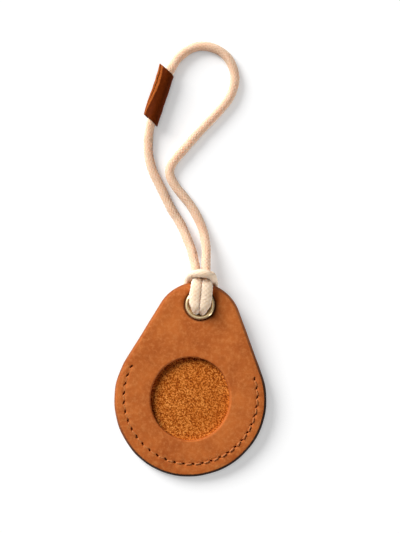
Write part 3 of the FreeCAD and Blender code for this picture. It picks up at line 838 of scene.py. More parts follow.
@dataclass(frozen=True)
class Seam:
    """Stitched seam round the lower end: its groove, its holes and the pull of its stitches."""

    radius: float = 0.022
    lift: float = 0.0009
    rise: float = math.radians(21.8)
    stitches: int = 28
    groove_depth: float = 0.0001
    groove_half: float = 0.0009
    hole_half_length: float = 0.00062
    hole_half_width: float = 0.00026
    hole_depth: float = 0.0015
    hole_slant: float = math.radians(20.0)
    hole_rim: float = 1.15
    hole_floor: float = 0.7
    groove_floor: float = 0.25
    pucker: float = 0.00006
    end_fade: float = 0.05

    def half_arc(self) -> float:
        """Angle from the lowest point of the seam to its end."""
        return math.pi / 2.0 + self.rise

    def step(self) -> float:
        """Angle of one stitch."""
        return 2.0 * self.half_arc() / self.stitches

    def reach(self, angle: np.ndarray) -> np.ndarray:
        """Distance from the window's centre out to the seam's circle, which is centred a little higher."""
        across = self.lift * np.cos(angle)
        return self.lift * np.sin(angle) + np.sqrt(self.radius ** 2 - across ** 2)

    def sink(self, x: np.ndarray, y: np.ndarray) -> np.ndarray:
        """How far the sewing draws the leather's face in.

        Args:
            x: Across the holder.
            y: Along the holder.

        Returns:
            Depths below the flat face.
        """
        low = self.lift - y
        swing = np.arctan2(x, low)
        off = np.hypot(x, low) - self.radius
        end = self.half_arc()
        within = smooth(np.abs(swing), end + self.end_fade, end)
        floor_half = self.groove_floor * self.groove_half
        groove = self.groove_depth * smooth(np.abs(off), self.groove_half, floor_half)
        wave = np.cos(FULL_TURN * (swing + end) / self.step())
        pull = self.pucker * wave * np.exp(-(off / (2.0 * self.groove_half)) ** 2)
        nearest = np.clip(np.round((swing + end) / self.step()), 0, self.stitches)
        along = (swing + end - nearest * self.step()) * self.radius
        turned_along = along * math.cos(self.hole_slant) + off * math.sin(self.hole_slant)
        turned_off = off * math.cos(self.hole_slant) - along * math.sin(self.hole_slant)
        spread = np.hypot(turned_along / self.hole_half_length, turned_off / self.hole_half_width)
        hole = self.hole_depth * smooth(spread, self.hole_rim, self.hole_floor)
        return within * (groove + pull) + hole


@dataclass(frozen=True)
class EyeletSize:
    """Sizes of the eyelet and its washer."""

    centre_y: float = 0.0316
    bore: float = 0.0035
    wall: float = 0.00035
    flange: float = 0.00145
    rim: float = 0.00066
    rim_height: float = 0.0008
    mouth: float = 0.0006
    funnel: float = 0.0009
    lip: float = 0.0007
    washer: float = 0.00135
    washer_thick: float = 0.0004
    hole_gap: float = 0.00005
    press_depth: float = 0.0003
    press_width: float = 0.0007

    def crest(self) -> float:
        """Radius of the front ring's highest line."""
        return self.bore + self.flange - self.rim

    def sink(self, x: np.ndarray, y: np.ndarray) -> np.ndarray:
        """How far the ring presses the leather in, at and just beyond its edge."""
        return self.press_depth * np.exp(-(np.maximum(self.beyond(x, y), 0.0) / self.press_width) ** 2)

    def beyond(self, x: np.ndarray, y: np.ndarray) -> np.ndarray:
        """Distance of points outside the front ring's edge."""
        return np.hypot(x, y - self.centre_y) - self.bore - self.flange


class Layer(Enum):
    """The two leather panels."""

    FRONT = "front_panel"
    BACK = "back_panel"


@dataclass
class LeatherPanel:
    """One leather panel: bevelled dark-dyed edge with painted shade towards the lower right, seam groove,
    stitch holes and, in front, the window.
    """

    layer: Layer
    outline: Outline = field(default_factory=Outline)
    seam: Seam = field(default_factory=Seam)
    eyelet: EyeletSize = field(default_factory=EyeletSize)
    thick: float = LEATHER_THICK
    stack: float = STACK
    bevel: float = 0.0009
    # Each pair is a share of the bevel's width, in from the edge, and a share of its depth
    bevel_profile: tuple[tuple[float, float], ...] = (
        (1.0, 0.0), (0.93, 0.008), (0.86, 0.03), (0.79, 0.075), (0.7, 0.17),
        (0.55, 0.36), (0.36, 0.58), (0.16, 0.81), (0.0, 1.0),
    )
    front_drop: float = 0.0019
    parting_round: float = 0.00025
    window_radius: float = 0.01345
    window_stretch: float = 0.0003
    window_shift: float = 0.0004
    window_round: float = 0.0006
    margin_fall: float = 0.0003
    margin_width: float = 0.0031
    curl: float = 0.00045
    curl_way: tuple[float, float] = (0.8, -0.6)
    # Dark dye on the cut edge, least at the lit upper left; the extra darkness towards the lower right is
    # painted shade
    edge_burnish: float = 1.0
    shade_turn: float = math.radians(-55.0)
    burnish_least: float = 0.35
    shade_start: float = 0.25
    shade_full: float = 0.75
    burnish_width: float = 0.0009
    burnish_solid: float = 0.0006
    wall_burnish: float = 0.18
    wall_fade: float = 0.0003
    wall_lean: float = 0.0003
    lean_turn: float = math.radians(5.0)
    wave_height: float = 0.00009
    wave_length: float = 0.017
    wave_fade: float = 0.002
    wave_limit: float = 0.5
    wave_seed: int = 11
    ripple_share: float = 0.25
    ripple_count: float = 5.0
    ripple_seed: int = 23
    flat_radius: float = 0.005
    flat_fade: float = 0.008
    edge_waver: float = 0.00006
    waver_circle: float = 10.0
    waver_length: float = 3.0
    waver_seed: int = 5
    seam_band: float = 0.0013
    pole: float = 0.0002
    wall_rings: int = 5
    rim_rings: int = 7
    face_rings: int = 13
    band_rings: int = 27
    margin_rings: int = 41
    parting_rings: int = 5
    inner_rings: int = 31
    hole_columns: int = 96
    columns: int = 900

    def rings(self) -> tuple[list[np.ndarray], list[float], list[float]]:
        """Rings of points, from the middle outwards over the outer face and back over the inner one.

        Returns:
            For each ring its radius in every direction, its depth and its share of the face's relief.
        """
        angle = self.angles()
        radii: list[np.ndarray] = []
        depths: list[float] = []
        shares: list[float] = []

        def add(radius: np.ndarray | float, depth: float, share: float) -> None:
            """Adds one ring.

            Args:
                radius: Radius in every direction, or one for all.
                depth: Depth below the outer face.
                share: Share of the face's relief.
            """
            radii.append(np.broadcast_to(radius, angle.shape))
            depths.append(depth)
            shares.append(share)

        first = self.pole
        window = self.window(angle)
        lean = self.wall_lean * np.maximum(np.cos(angle - self.lean_turn), 0.0)
        if self.layer is Layer.FRONT:
            for share in np.linspace(1.0, 0.0, self.wall_rings)[:-1]:
                depth = self.window_round + share * (self.thick - self.window_round)
                add(window - share * lean, depth, 0.0)
            for turn in np.linspace(0.0, math.pi / 2.0, self.rim_rings)[:-1]:
                radius = window + self.window_round * (1.0 - math.cos(turn))
                add(radius, self.window_round * (1.0 - math.sin(turn)), math.sin(turn))
            first = window + self.window_round
        band_in = self.seam.reach(angle) - self.seam_band
        band_out = self.seam.reach(angle) + self.seam_band
        for radius in np.linspace(first, band_in, self.face_rings)[:-1]:
            add(radius, 0.0, 1.0)
        for radius in np.linspace(band_in, band_out, self.band_rings)[:-1]:
            add(radius, 0.0, 1.0)
        rim = self.outline.reach(angle, self.bevel)
        for share in np.linspace(0.0, 1.0, self.margin_rings)[:-1]:
            add(band_out + share * (rim - band_out), 0.0, 1.0)
        drop = self.front_drop if self.layer is Layer.FRONT else self.bevel
        for inset, depth in self.bevel_profile:
            reach = self.outline.reach(angle, self.bevel * inset)
            add(reach, drop * depth, (1.0 - depth) ** 2)
        add(self.outline.reach(angle, 0.0), (drop + self.thick) / 2.0, 0.0)
        for turn in np.linspace(0.0, math.pi / 2.0, self.parting_rings):
            inset = self.parting_round * (1.0 - math.cos(turn))
            depth = self.thick - self.parting_round * (1.0 - math.sin(turn))
            add(self.outline.reach(angle, inset), depth, 0.0)
        inner = self.outline.reach(angle, self.parting_round)
        last = window - lean if self.layer is Layer.FRONT else self.pole
        for share in np.linspace(0.0, 1.0, self.inner_rings)[1:-1]:
            add(inner + share * (last - inner), self.thick, 0.0)
        if self.layer is Layer.BACK:
            add(last, self.thick, 0.0)
        return radii, depths, shares

    def window(self, angle: np.ndarray) -> np.ndarray:
        """Reach of the window, which is cut by hand: slightly tall and above the middle."""
        stretch = self.window_stretch * np.cos(2.0 * angle)
        return self.window_radius - stretch + self.window_shift * np.sin(angle)

    def angles(self) -> np.ndarray:
        """Directions of the columns of points."""
        return np.linspace(0.0, FULL_TURN, self.columns, endpoint=False)

    def build(self) -> bpy.types.Mesh:
        """Makes the panel's mesh, in the holder's axes.

        Returns:
            The closed mesh, before the eyelet's hole is cut.
        """
        angle = self.angles()
        radii, depths, shares = self.rings()
        radius = np.array(radii)
        share = np.array(shares)[:, None]
        circle_x = self.waver_circle * np.cos(angle)
        circle_y = self.waver_circle * np.sin(angle)
        waver = self.edge_waver * undulation(circle_x, circle_y, self.waver_length, self.waver_seed)
        near_edge = smooth(radius, self.seam.reach(angle) + self.seam_band, self.outline.fob_radius)
        radius = radius + waver * near_edge
        x = radius * np.cos(angle)
        y = radius * np.sin(angle)
        depth = np.array(depths)[:, None] + share * self.relief(x, y)
        height = self.stack - depth if self.layer is Layer.FRONT else depth
        points = np.stack([x, y, height], axis=-1)
        closed = self.layer is Layer.FRONT
        return grid_mesh(self.layer.value + "_leather", points, closed, not closed)

    def relief(self, x: np.ndarray, y: np.ndarray) -> np.ndarray:
        """Depth of the outer face below flat: sewing, pressing, soft margin and gentle waves.

        Args:
            x: Place of each point across the holder.
            y: Place of each point along the holder.

        Returns:
            Depth at each point.
        """
        inset = self.outline.inset(x, y)
        margin = self.margin_fall * smooth(inset, self.margin_width, 0.0) ** 2
        curl_x, curl_y = self.curl_way
        curl = self.curl * smooth(curl_x * x + curl_y * y, 0.0, self.outline.fob_radius)
        wave = self.wave_height * undulation(x, y, self.wave_length, self.wave_seed)
        ripple_height = self.ripple_share * self.wave_height
        ripple_length = self.wave_length / self.ripple_count
        ripple = ripple_height * undulation(x, y, ripple_length, self.ripple_seed)
        from_eyelet = np.hypot(x, y - self.eyelet.centre_y)
        flat = smooth(from_eyelet, self.flat_radius, self.flat_fade)
        lift = (wave + ripple) * flat * smooth(inset, 0.0, self.wave_fade)
        pressed = self.seam.sink(x, y) + self.eyelet.sink(x, y)
        return margin + curl + np.maximum(lift, -self.wave_limit * self.wave_height) + pressed

    def punch(self, piece: bpy.types.Object) -> None:
        """Cuts the eyelet's hole through the panel.

        Args:
            piece: The panel, which gets a new mesh.
        """
        radius = self.eyelet.bore + self.eyelet.wall + self.eyelet.hole_gap
        profile = [(radius, -self.thick), (radius, self.stack + self.thick)]
        points = turned(profile, Vector((0.0, self.eyelet.centre_y, 0.0)), self.hole_columns)
        mesh = grid_mesh("eyelet_punch", points, False, True)
        cutter = add_piece("eyelet_punch", mesh, piece.matrix_world)
        cut = piece.modifiers.new("eyelet_hole", "BOOLEAN")
        cut.object = cutter
        # The exact solver gave a different mesh from run to run here
        cut.solver = "MANIFOLD"
        bpy.context.view_layer.update()
        whole = piece.data
        punched = piece.evaluated_get(bpy.context.evaluated_depsgraph_get())
        piece.data = bpy.data.meshes.new_from_object(punched)
        piece.modifiers.clear()
        bpy.data.objects.remove(cutter)
        bpy.data.meshes.remove(whole)

    def inner(self, face: bpy.types.MeshPolygon) -> bool:
        """Whether a face looks towards the other panel."""
        return face.normal.z < -0.5 if self.layer is Layer.FRONT else face.normal.z > 0.5

    def dress(self, place: Matrix, finishes: dict[str, bpy.types.Material]) -> bpy.types.Object:
        """Adds the panel to the scene with its finishes.

        Args:
            place: The holder's place in the frame.
            finishes: Materials by name.

        Returns:
            The piece.
        """
        piece = add_piece(self.layer.value + "_leather", self.build(), place)
        self.punch(piece)
        mesh = piece.data
        mesh.materials.clear()
        mesh.materials.append(finishes["grain"])
        mesh.materials.append(finishes["suede"])
        points = coordinates(mesh)
        x, y = points[:, 0], points[:, 1]
        # Painted shade: the edge colour darkens towards the lower right, the side turned away from the key
        # lamp
        shade_side = 0.5 + 0.5 * np.cos(np.arctan2(y, x) - self.shade_turn)
        darker = (1.0 - self.burnish_least) * smooth(shade_side, self.shade_start, self.shade_full)
        burnish = self.edge_burnish * (self.burnish_least + darker)
        rubbed = burnish * smooth(self.outline.inset(x, y), self.burnish_width, self.burnish_solid)
        if self.layer is Layer.FRONT:
            off_wall = np.hypot(x, y) - self.window(np.arctan2(y, x))
            rubbed = np.maximum(rubbed, self.wall_burnish * smooth(off_wall, self.wall_fade, 0.0))
        store(mesh, "rubbed", rubbed)
        level = self.stack - self.thick
        for face in mesh.polygons:
            face.use_smooth = True
            if abs(face.center.z - level) < self.parting_round / 4.0 and self.inner(face):
                face.material_index = 1
        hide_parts(self.layer.value)
        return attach(piece, HOLDER)


@dataclass
class SeamThread:
    """Stitches of the seam on both faces: two twisted plies that dive into the holes."""

    seam: Seam = field(default_factory=Seam)
    stack: float = STACK
    radius: float = 0.00024
    flatten: float = 0.7
    ply_depth: float = 0.22
    lay_length: float = 0.0012
    crest_sink: float = 0.00016
    dive: float = 0.0017
    dive_from: float = 0.0006
    slant: float = 0.00022
    rows: int = 22
    columns: int = 16

    def stitch(self, number: int, front: bool) -> tuple[np.ndarray, np.ndarray]:
        """Points of one stitch, and how high each stands on its ply.

        Args:
            number: Place of the stitch, from the left end of the seam.
            front: True for the front face.

        Returns:
            Rows of points, and their crest values.
        """
        half = 0.5 * self.seam.step() * self.seam.radius
        along = np.linspace(-half, half, self.rows)
        swing = (number + 0.5) * self.seam.step() - self.seam.half_arc() + along / self.seam.radius
        bury = self.crest_sink + self.dive * smooth(np.abs(along), self.dive_from, half)
        slope = np.gradient(bury, along)
        turn = np.linspace(0.0, FULL_TURN, self.columns, endpoint=False)
        twist = FULL_TURN * along / self.lay_length
        crest = np.abs(np.cos(turn[None, :] - twist[:, None]))
        radius = self.radius * (1.0 - self.ply_depth * (1.0 - crest))
        across = radius * np.cos(turn)
        lift = self.flatten * radius * np.sin(turn)
        steep = np.sqrt(1.0 + slope ** 2)[:, None]
        forward = lift * slope[:, None] / steep
        angle = swing[:, None] + forward / self.seam.radius
        reach = self.seam.radius + across - self.slant * (along / half)[:, None]
        depth = bury[:, None] - lift / steep
        height = self.stack - depth if front else depth
        points = np.stack([reach * np.sin(angle), self.seam.lift - reach * np.cos(angle), height], axis=-1)
        return points, crest

    def dress(self, place: Matrix, finishes: dict[str, bpy.types.Material]) -> bpy.types.Object:
        """Joins all stitches into one piece and adds it.

        Args:
            place: The holder's place in the frame.
            finishes: Materials by name.

        Returns:
            The piece.
        """
        work = bmesh.new()
        crests = []
        for front in (True, False):
            for number in range(self.seam.stitches):
                points, crest = self.stitch(number, front)
                mesh = grid_mesh("stitch", points, False, True)
                work.from_mesh(mesh)
                bpy.data.meshes.remove(mesh)
                crests.append(crest.ravel())
        joined = bpy.data.meshes.new("seam_stitches")
        work.to_mesh(joined)
        work.free()
        store(joined, "crest", np.concatenate(crests))
        joined.materials.append(finishes["thread"])
        piece = add_piece("seam_stitches", joined, place)
        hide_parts("seam_thread")
        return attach(piece, HOLDER)


@dataclass
class Eyelet:
    """Pressed eyelet: a front ring with a dark funnel, a barrel, and an end rolled over a washer."""

    size: EyeletSize = field(default_factory=EyeletSize)
    stack: float = STACK
    seat: float = 0.00012
    waist: float = 0.0006
    funnel_curve: float = 1.6
    film: float = 0.85
    film_start: float = 0.0002
    film_full: float = 0.0008
    foot_start: float = 0.0002
    foot_full: float = -0.0001
    columns: int = 160
    arc_points: int = 15

    def ring_profile(self) -> list[tuple[float, float]]:
        """Section of the eyelet, going round from the bore's foot.

        Returns:
            Radius and height of each corner.
        """
        size = self.size
        crest = size.crest()
        throat = size.bore - size.mouth
        top = self.stack - self.seat
        narrow = size.bore - self.waist
        profile = [(size.bore - 0.5 * self.waist, 0.0), (narrow, 0.25 * top), (narrow, 0.5 * top)]
        for share in np.linspace(1.0, 0.0, self.arc_points):
            fall = size.funnel * share ** self.funnel_curve
            profile.append((crest + share * (throat - crest), top + size.rim_height - fall))
        for turn in np.linspace(math.pi / 2.0, 0.0, self.arc_points)[1:]:
            profile.append((crest + size.rim * math.cos(turn), top + size.rim_height * math.sin(turn)))
        outside = size.bore + size.wall
        profile += [(outside + 0.5 * size.wall, top - 0.3 * size.wall), (outside, top - size.wall)]
        profile += [(outside, 0.5 * self.stack), (outside, -size.washer_thick)]
        lip = size.lip / 2.0
        for turn in np.linspace(0.0, -math.pi, self.arc_points):
            reach = size.bore + lip + lip * math.cos(turn)
            profile.append((reach, -size.washer_thick + lip * math.sin(turn)))
        return profile

    def washer_profile(self) -> list[tuple[float, float]]:
        """Section of the washer: flat, with its outer edge rounded.

        Returns:
            Radius and height of each corner.
        """
        size = self.size
        inner = size.bore + size.wall + size.hole_gap
        outer = size.bore + size.washer
        half = size.washer_thick / 2.0
        edge = [
            (outer - half + half * math.sin(turn), -half + half * math.cos(turn))
            for turn in np.linspace(0.0, math.pi, self.arc_points)
        ]
        return [(inner, 0.0)] + edge + [(inner, -size.washer_thick)]

    def dress(self, place: Matrix, finishes: dict[str, bpy.types.Material]) -> list[bpy.types.Object]:
        """Adds the eyelet and its washer.

        Args:
            place: The holder's place in the frame.
            finishes: Materials by name.

        Returns:
            Both pieces.
        """
        pieces = []
        centre = Vector((0.0, self.size.centre_y, 0.0))
        for name, node, profile in (
            ("eyelet_ring", "eyelet", self.ring_profile()),
            ("washer_ring", "eyelet_washer", self.washer_profile()),
        ):
            mesh = grid_mesh(name, turned(profile, centre, self.columns), True, False)
            points = coordinates(mesh)
            reach = np.hypot(points[:, 0], points[:, 1] - self.size.centre_y)
            high = points[:, 2] - self.stack
            crest = self.size.crest()
            inside = smooth(reach, crest - self.film_start, crest - self.film_full)
            foot = smooth(high, self.foot_start, self.foot_full)
            store(mesh, "film", self.film * np.maximum(inside, foot))
            mesh.materials.append(finishes["brass"])
            piece = add_piece(name, mesh, place)
            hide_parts(node)
            pieces.append(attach(piece, HOLDER))
        return pieces


# The cord and its tab


@dataclass(frozen=True)
class Braid:
    """Round cotton braid: yarns that wind both ways and pass over and under each other."""

    radius: float = 0.00145
    yarns: int = 8
    lay: float = math.radians(40.0)
    relief: float = 0.00038
    level: float = 0.65
    over: float = 0.6
    swell: float = 0.03
    swell_length: float = 0.007
    swell_seed: int = 3
    columns: int = 56
    ring_step: float = 0.00017

    def crest(self, along: np.ndarray, turn: np.ndarray) -> np.ndarray:
        """Height of the yarns.

        Args:
            along: Distance along the cord.
            turn: Angle round the cord.

        Returns:
            Heights from 0, in the gaps, to 1.
        """
        pitch = FULL_TURN * self.radius / math.tan(self.lay)
        round_share = turn / FULL_TURN
        one = self.yarns * (round_share + along / pitch)
        other = self.yarns * (round_share - along / pitch)
        one_row, other_row = np.floor(one), np.floor(other)
        one_over = np.where(one_row % 2, -1.0, 1.0) * np.sin(math.pi * other)
        other_over = -np.where(other_row % 2, -1.0, 1.0) * np.sin(math.pi * one)
        one_round = np.sqrt(np.maximum(1.0 - (2.0 * (one - one_row) - 1.0) ** 2, 0.0))
        other_round = np.sqrt(np.maximum(1.0 - (2.0 * (other - other_row) - 1.0) ** 2, 0.0))
        height = np.maximum(one_round + self.over * one_over, other_round + self.over * other_over)
        return np.clip(height / (1.0 + self.over), 0.0, 1.0)

    def line(self, name: str, controls: list[tuple[float, float, float]]) -> np.ndarray:
        """Evenly spaced points on the smooth curve of a route.

        Args:
            name: Name of the curve.
            controls: The route's points.

        Returns:
            Points a ring step apart.
        """
        curve = bpy.data.curves.new(name, "CURVE")
        curve.dimensions = "3D"
        curve.resolution_u = 32
        spline = curve.splines.new("NURBS")
        spline.points.add(len(controls) - 1)
        for point, place in zip(spline.points, controls):
            point.co = (*place, 1.0)
        spline.order_u = 3
        spline.use_endpoint_u = True
        holder = bpy.data.objects.new(name, curve)
        mesh = bpy.data.meshes.new_from_object(holder)
        points = coordinates(mesh)
        bpy.data.objects.remove(holder)
        bpy.data.curves.remove(curve)
        bpy.data.meshes.remove(mesh)
        gone = np.concatenate([[0.0], np.cumsum(np.linalg.norm(np.diff(points, axis=0), axis=1))])
        count = int(gone[-1] / self.ring_step)
        stops = np.linspace(0.0, gone[-1], count)
        return np.stack([np.interp(stops, gone, points[:, axis]) for axis in range(3)], axis=-1)

    def tube(
        self,
        name: str,
        line: np.ndarray,
        press: Callable[[np.ndarray, np.ndarray], np.ndarray] | None = None,
    ) -> bpy.types.Mesh:
        """Braided tube along a line.

        Args:
            name: Name of the mesh.
            line: Evenly spaced points.
            press: Changes the offsets of the points from the line, where the cord is squeezed.

        Returns:
            The mesh.
        """
        ahead = np.gradient(line, axis=0)
        ahead /= np.linalg.norm(ahead, axis=1)[:, None]
        sides = np.zeros_like(line)
        side = np.cross(ahead[0], (0.0, 0.0, 1.0))
        for number, way in enumerate(ahead):
            side = side - way * np.dot(side, way)
            side = side / np.linalg.norm(side)
            sides[number] = side
        ups = np.cross(sides, ahead)
        turn = np.linspace(0.0, FULL_TURN, self.columns, endpoint=False)[None, :]
        along = (self.ring_step * np.arange(len(line)))[:, None]
        crest = self.crest(along, turn)
        swelling = undulation(along, np.zeros_like(along), self.swell_length, self.swell_seed)
        thickness = 1.0 + self.swell * swelling
        radius = self.radius * thickness + self.relief * (crest - self.level)
        offsets = radius[..., None] * (
            np.cos(turn)[..., None] * sides[:, None, :] + np.sin(turn)[..., None] * ups[:, None, :]
        )
        if press is not None:
            offsets = press(line, offsets)
        mesh = grid_mesh(name, line[:, None, :] + offsets, False, True)
        store(mesh, "crest", crest)
        return mesh


# Route of the free loop, out along its right leg, through the tab and back along its left leg
LOOP_ROUTE = [
    (0.0015, 0.03246, 0.00905),
    (0.00058, 0.0371, 0.0068),
    (0.00046, 0.041, 0.0052),
    (0.00011, 0.0443, 0.0037),
    (-0.0015, 0.0501, 0.0018),
    (-0.0057, 0.0568, 0.00158),
    (-0.0093, 0.0604, 0.00158),
    (-0.0127, 0.0638, 0.00158),
    (-0.015, 0.0678, 0.00158),
    (-0.0137, 0.0716, 0.00158),
    (-0.0101, 0.0765, 0.00158),
    (-0.0059, 0.0826, 0.00158),
    (-0.0013, 0.0883, 0.00158),
    (0.003, 0.0945, 0.00158),
    (0.0042, 0.0996, 0.00158),
    (0.0037, 0.1033, 0.00158),
    (0.0017, 0.1073, 0.00158),
    (-0.0014, 0.1099, 0.00158),
    (-0.00605, 0.1113, 0.00158),
    (-0.0108, 0.1106, 0.00158),
    (-0.0152, 0.107, 0.0018),
    (-0.01715, 0.1033, 0.0022),
    (-0.0192, 0.0986, 0.0025),
    (-0.02065, 0.0919, 0.0025),
    (-0.02195, 0.086, 0.0025),
    (-0.0228, 0.0804, 0.0019),
    (-0.02265, 0.0769, 0.0016),
    (-0.0222, 0.0728, 0.00158),
    (-0.02013, 0.0672, 0.00158),
    (-0.0172, 0.0629, 0.00158),
    (-0.0128, 0.0555, 0.00158),
    (-0.0092, 0.0513, 0.0016),
    (-0.0061, 0.0455, 0.0032),
    (-0.0045, 0.0424, 0.0046),
    (-0.0033, 0.0386, 0.0062),
    (-0.0026, 0.0366, 0.0071),
    (-0.0019, 0.03246, 0.00905),
]

# Route of the hitch in the holder's axes, from under the bar on the left to under it on the right
HITCH_ROUTE = [
    (-0.00175, 0.0407, 0.0043),
    (-0.0014, 0.0383, 0.006),
    (-0.00165, 0.034, 0.0063),
    (-0.00105, 0.0296, 0.0066),
    (-0.001, 0.0293, -0.0021),
    (-0.0051, 0.0376, -0.0023),
    (-0.0043, 0.0402, 0.0008),
    (-0.0034, 0.0415, 0.006),
    (-0.0004, 0.0421, 0.0076),
    (0.0025, 0.0418, 0.0062),
    (0.0034, 0.0405, 0.001),
    (0.0041, 0.0376, -0.0023),
    (0.001, 0.0293, -0.0021),
    (0.00105, 0.0296, 0.0066),
    (0.00165, 0.034, 0.0063),
    (0.0014, 0.0383, 0.006),
    (0.0012, 0.0407, 0.0043),
]


@dataclass
class CottonCord:
    """The cord: a hitch through the eyelet that stays with the leather, and the free loop."""

    braid: Braid = field(default_factory=Braid)
    loop_length: float = 0.188
    front_height: float = 0.0045
    front_middle: float = 0.0348
    front_half: float = 0.0072
    front_full: float = 0.0028
    widen: float = 0.42
    flatten: float = 0.16
    hole_end: float = 0.0318
    hole_start: float = 0.0302
    pinch: float = 0.2
    bar_start: float = 0.0385
    bar_height: float = 0.005
    bar_press: float = 0.16
    strands_end: float = 0.04
    parting: float = 0.00003
    front_fade: float = 0.001
    pinch_fade: float = 0.0012
    bar_fade: float = 0.002
    bar_rise: float = 0.001
    bend_before: float = 0.0015
    bend_after: float = 0.0045

    def squeeze(self, line: np.ndarray, offsets: np.ndarray) -> np.ndarray:
        """Spreads the front strands, pinches them in the eyelet and presses them flat together.

        Args:
            line: The hitch's line, in the holder's axes.
            offsets: The tube's points, from the line.

        Returns:
            The changed offsets.
        """
        in_front = smooth(line[:, 2], self.front_height, self.front_height + self.front_fade)
        spread = in_front * smooth(np.abs(line[:, 1] - self.front_middle), self.front_half, self.front_full)
        in_hole = smooth(line[:, 1], self.hole_end, self.hole_start)
        pinched = in_hole * smooth(line[:, 2], -self.pinch_fade, 0.0)
        across = (1.0 + self.widen * spread) * (1.0 - self.pinch * pinched)
        bar = smooth(line[:, 1], self.bar_start, self.bar_start + self.bar_fade)
        bar = bar * smooth(line[:, 2], self.bar_height, self.bar_height + self.bar_rise)
        scale = np.stack([across, 1.0 - self.bar_press * bar, 1.0 - self.flatten * spread], axis=-1)
        pressed = offsets * scale[:, None, :]
        middle = line[:, :1]
        side = np.sign(middle)
        apart = np.maximum(side * (middle + pressed[..., 0]), self.parting)
        strands = line[:, 1] < self.strands_end
        pressed[strands, :, 0] = (side * apart - middle)[strands]
        return pressed

    def dress_hitch(self, place: Matrix, finishes: dict[str, bpy.types.Material]) -> bpy.types.Object:
        """Adds the hitch.

        Args:
            place: The holder's place in the frame.
            finishes: Materials by name.

        Returns:
            The piece.
        """
        line = self.braid.line("hitch_route", HITCH_ROUTE)
        mesh = self.braid.tube("cord_hitch", line, self.squeeze)
        # The hitch takes the copy of the cotton painted paler, as painted light
        mesh.materials.append(finishes["cotton_painted_paler"])
        piece = add_piece("cord_hitch", mesh, place)
        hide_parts("cord_knot")
        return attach(piece, HOLDER)

    def dress_loop(self, finishes: dict[str, bpy.types.Material]) -> bpy.types.Object:
        """Adds the free loop.

        Args:
            finishes: Materials by name.

        Returns:
            The piece.
        """
        line = self.braid.line("loop_route", LOOP_ROUTE)
        mesh = self.braid.tube("cord_loop", line)
        mesh.materials.append(finishes["cotton"])
        piece = add_piece("cord_loop", mesh)
        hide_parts("cord_right", "cord_left")
        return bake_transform(piece)


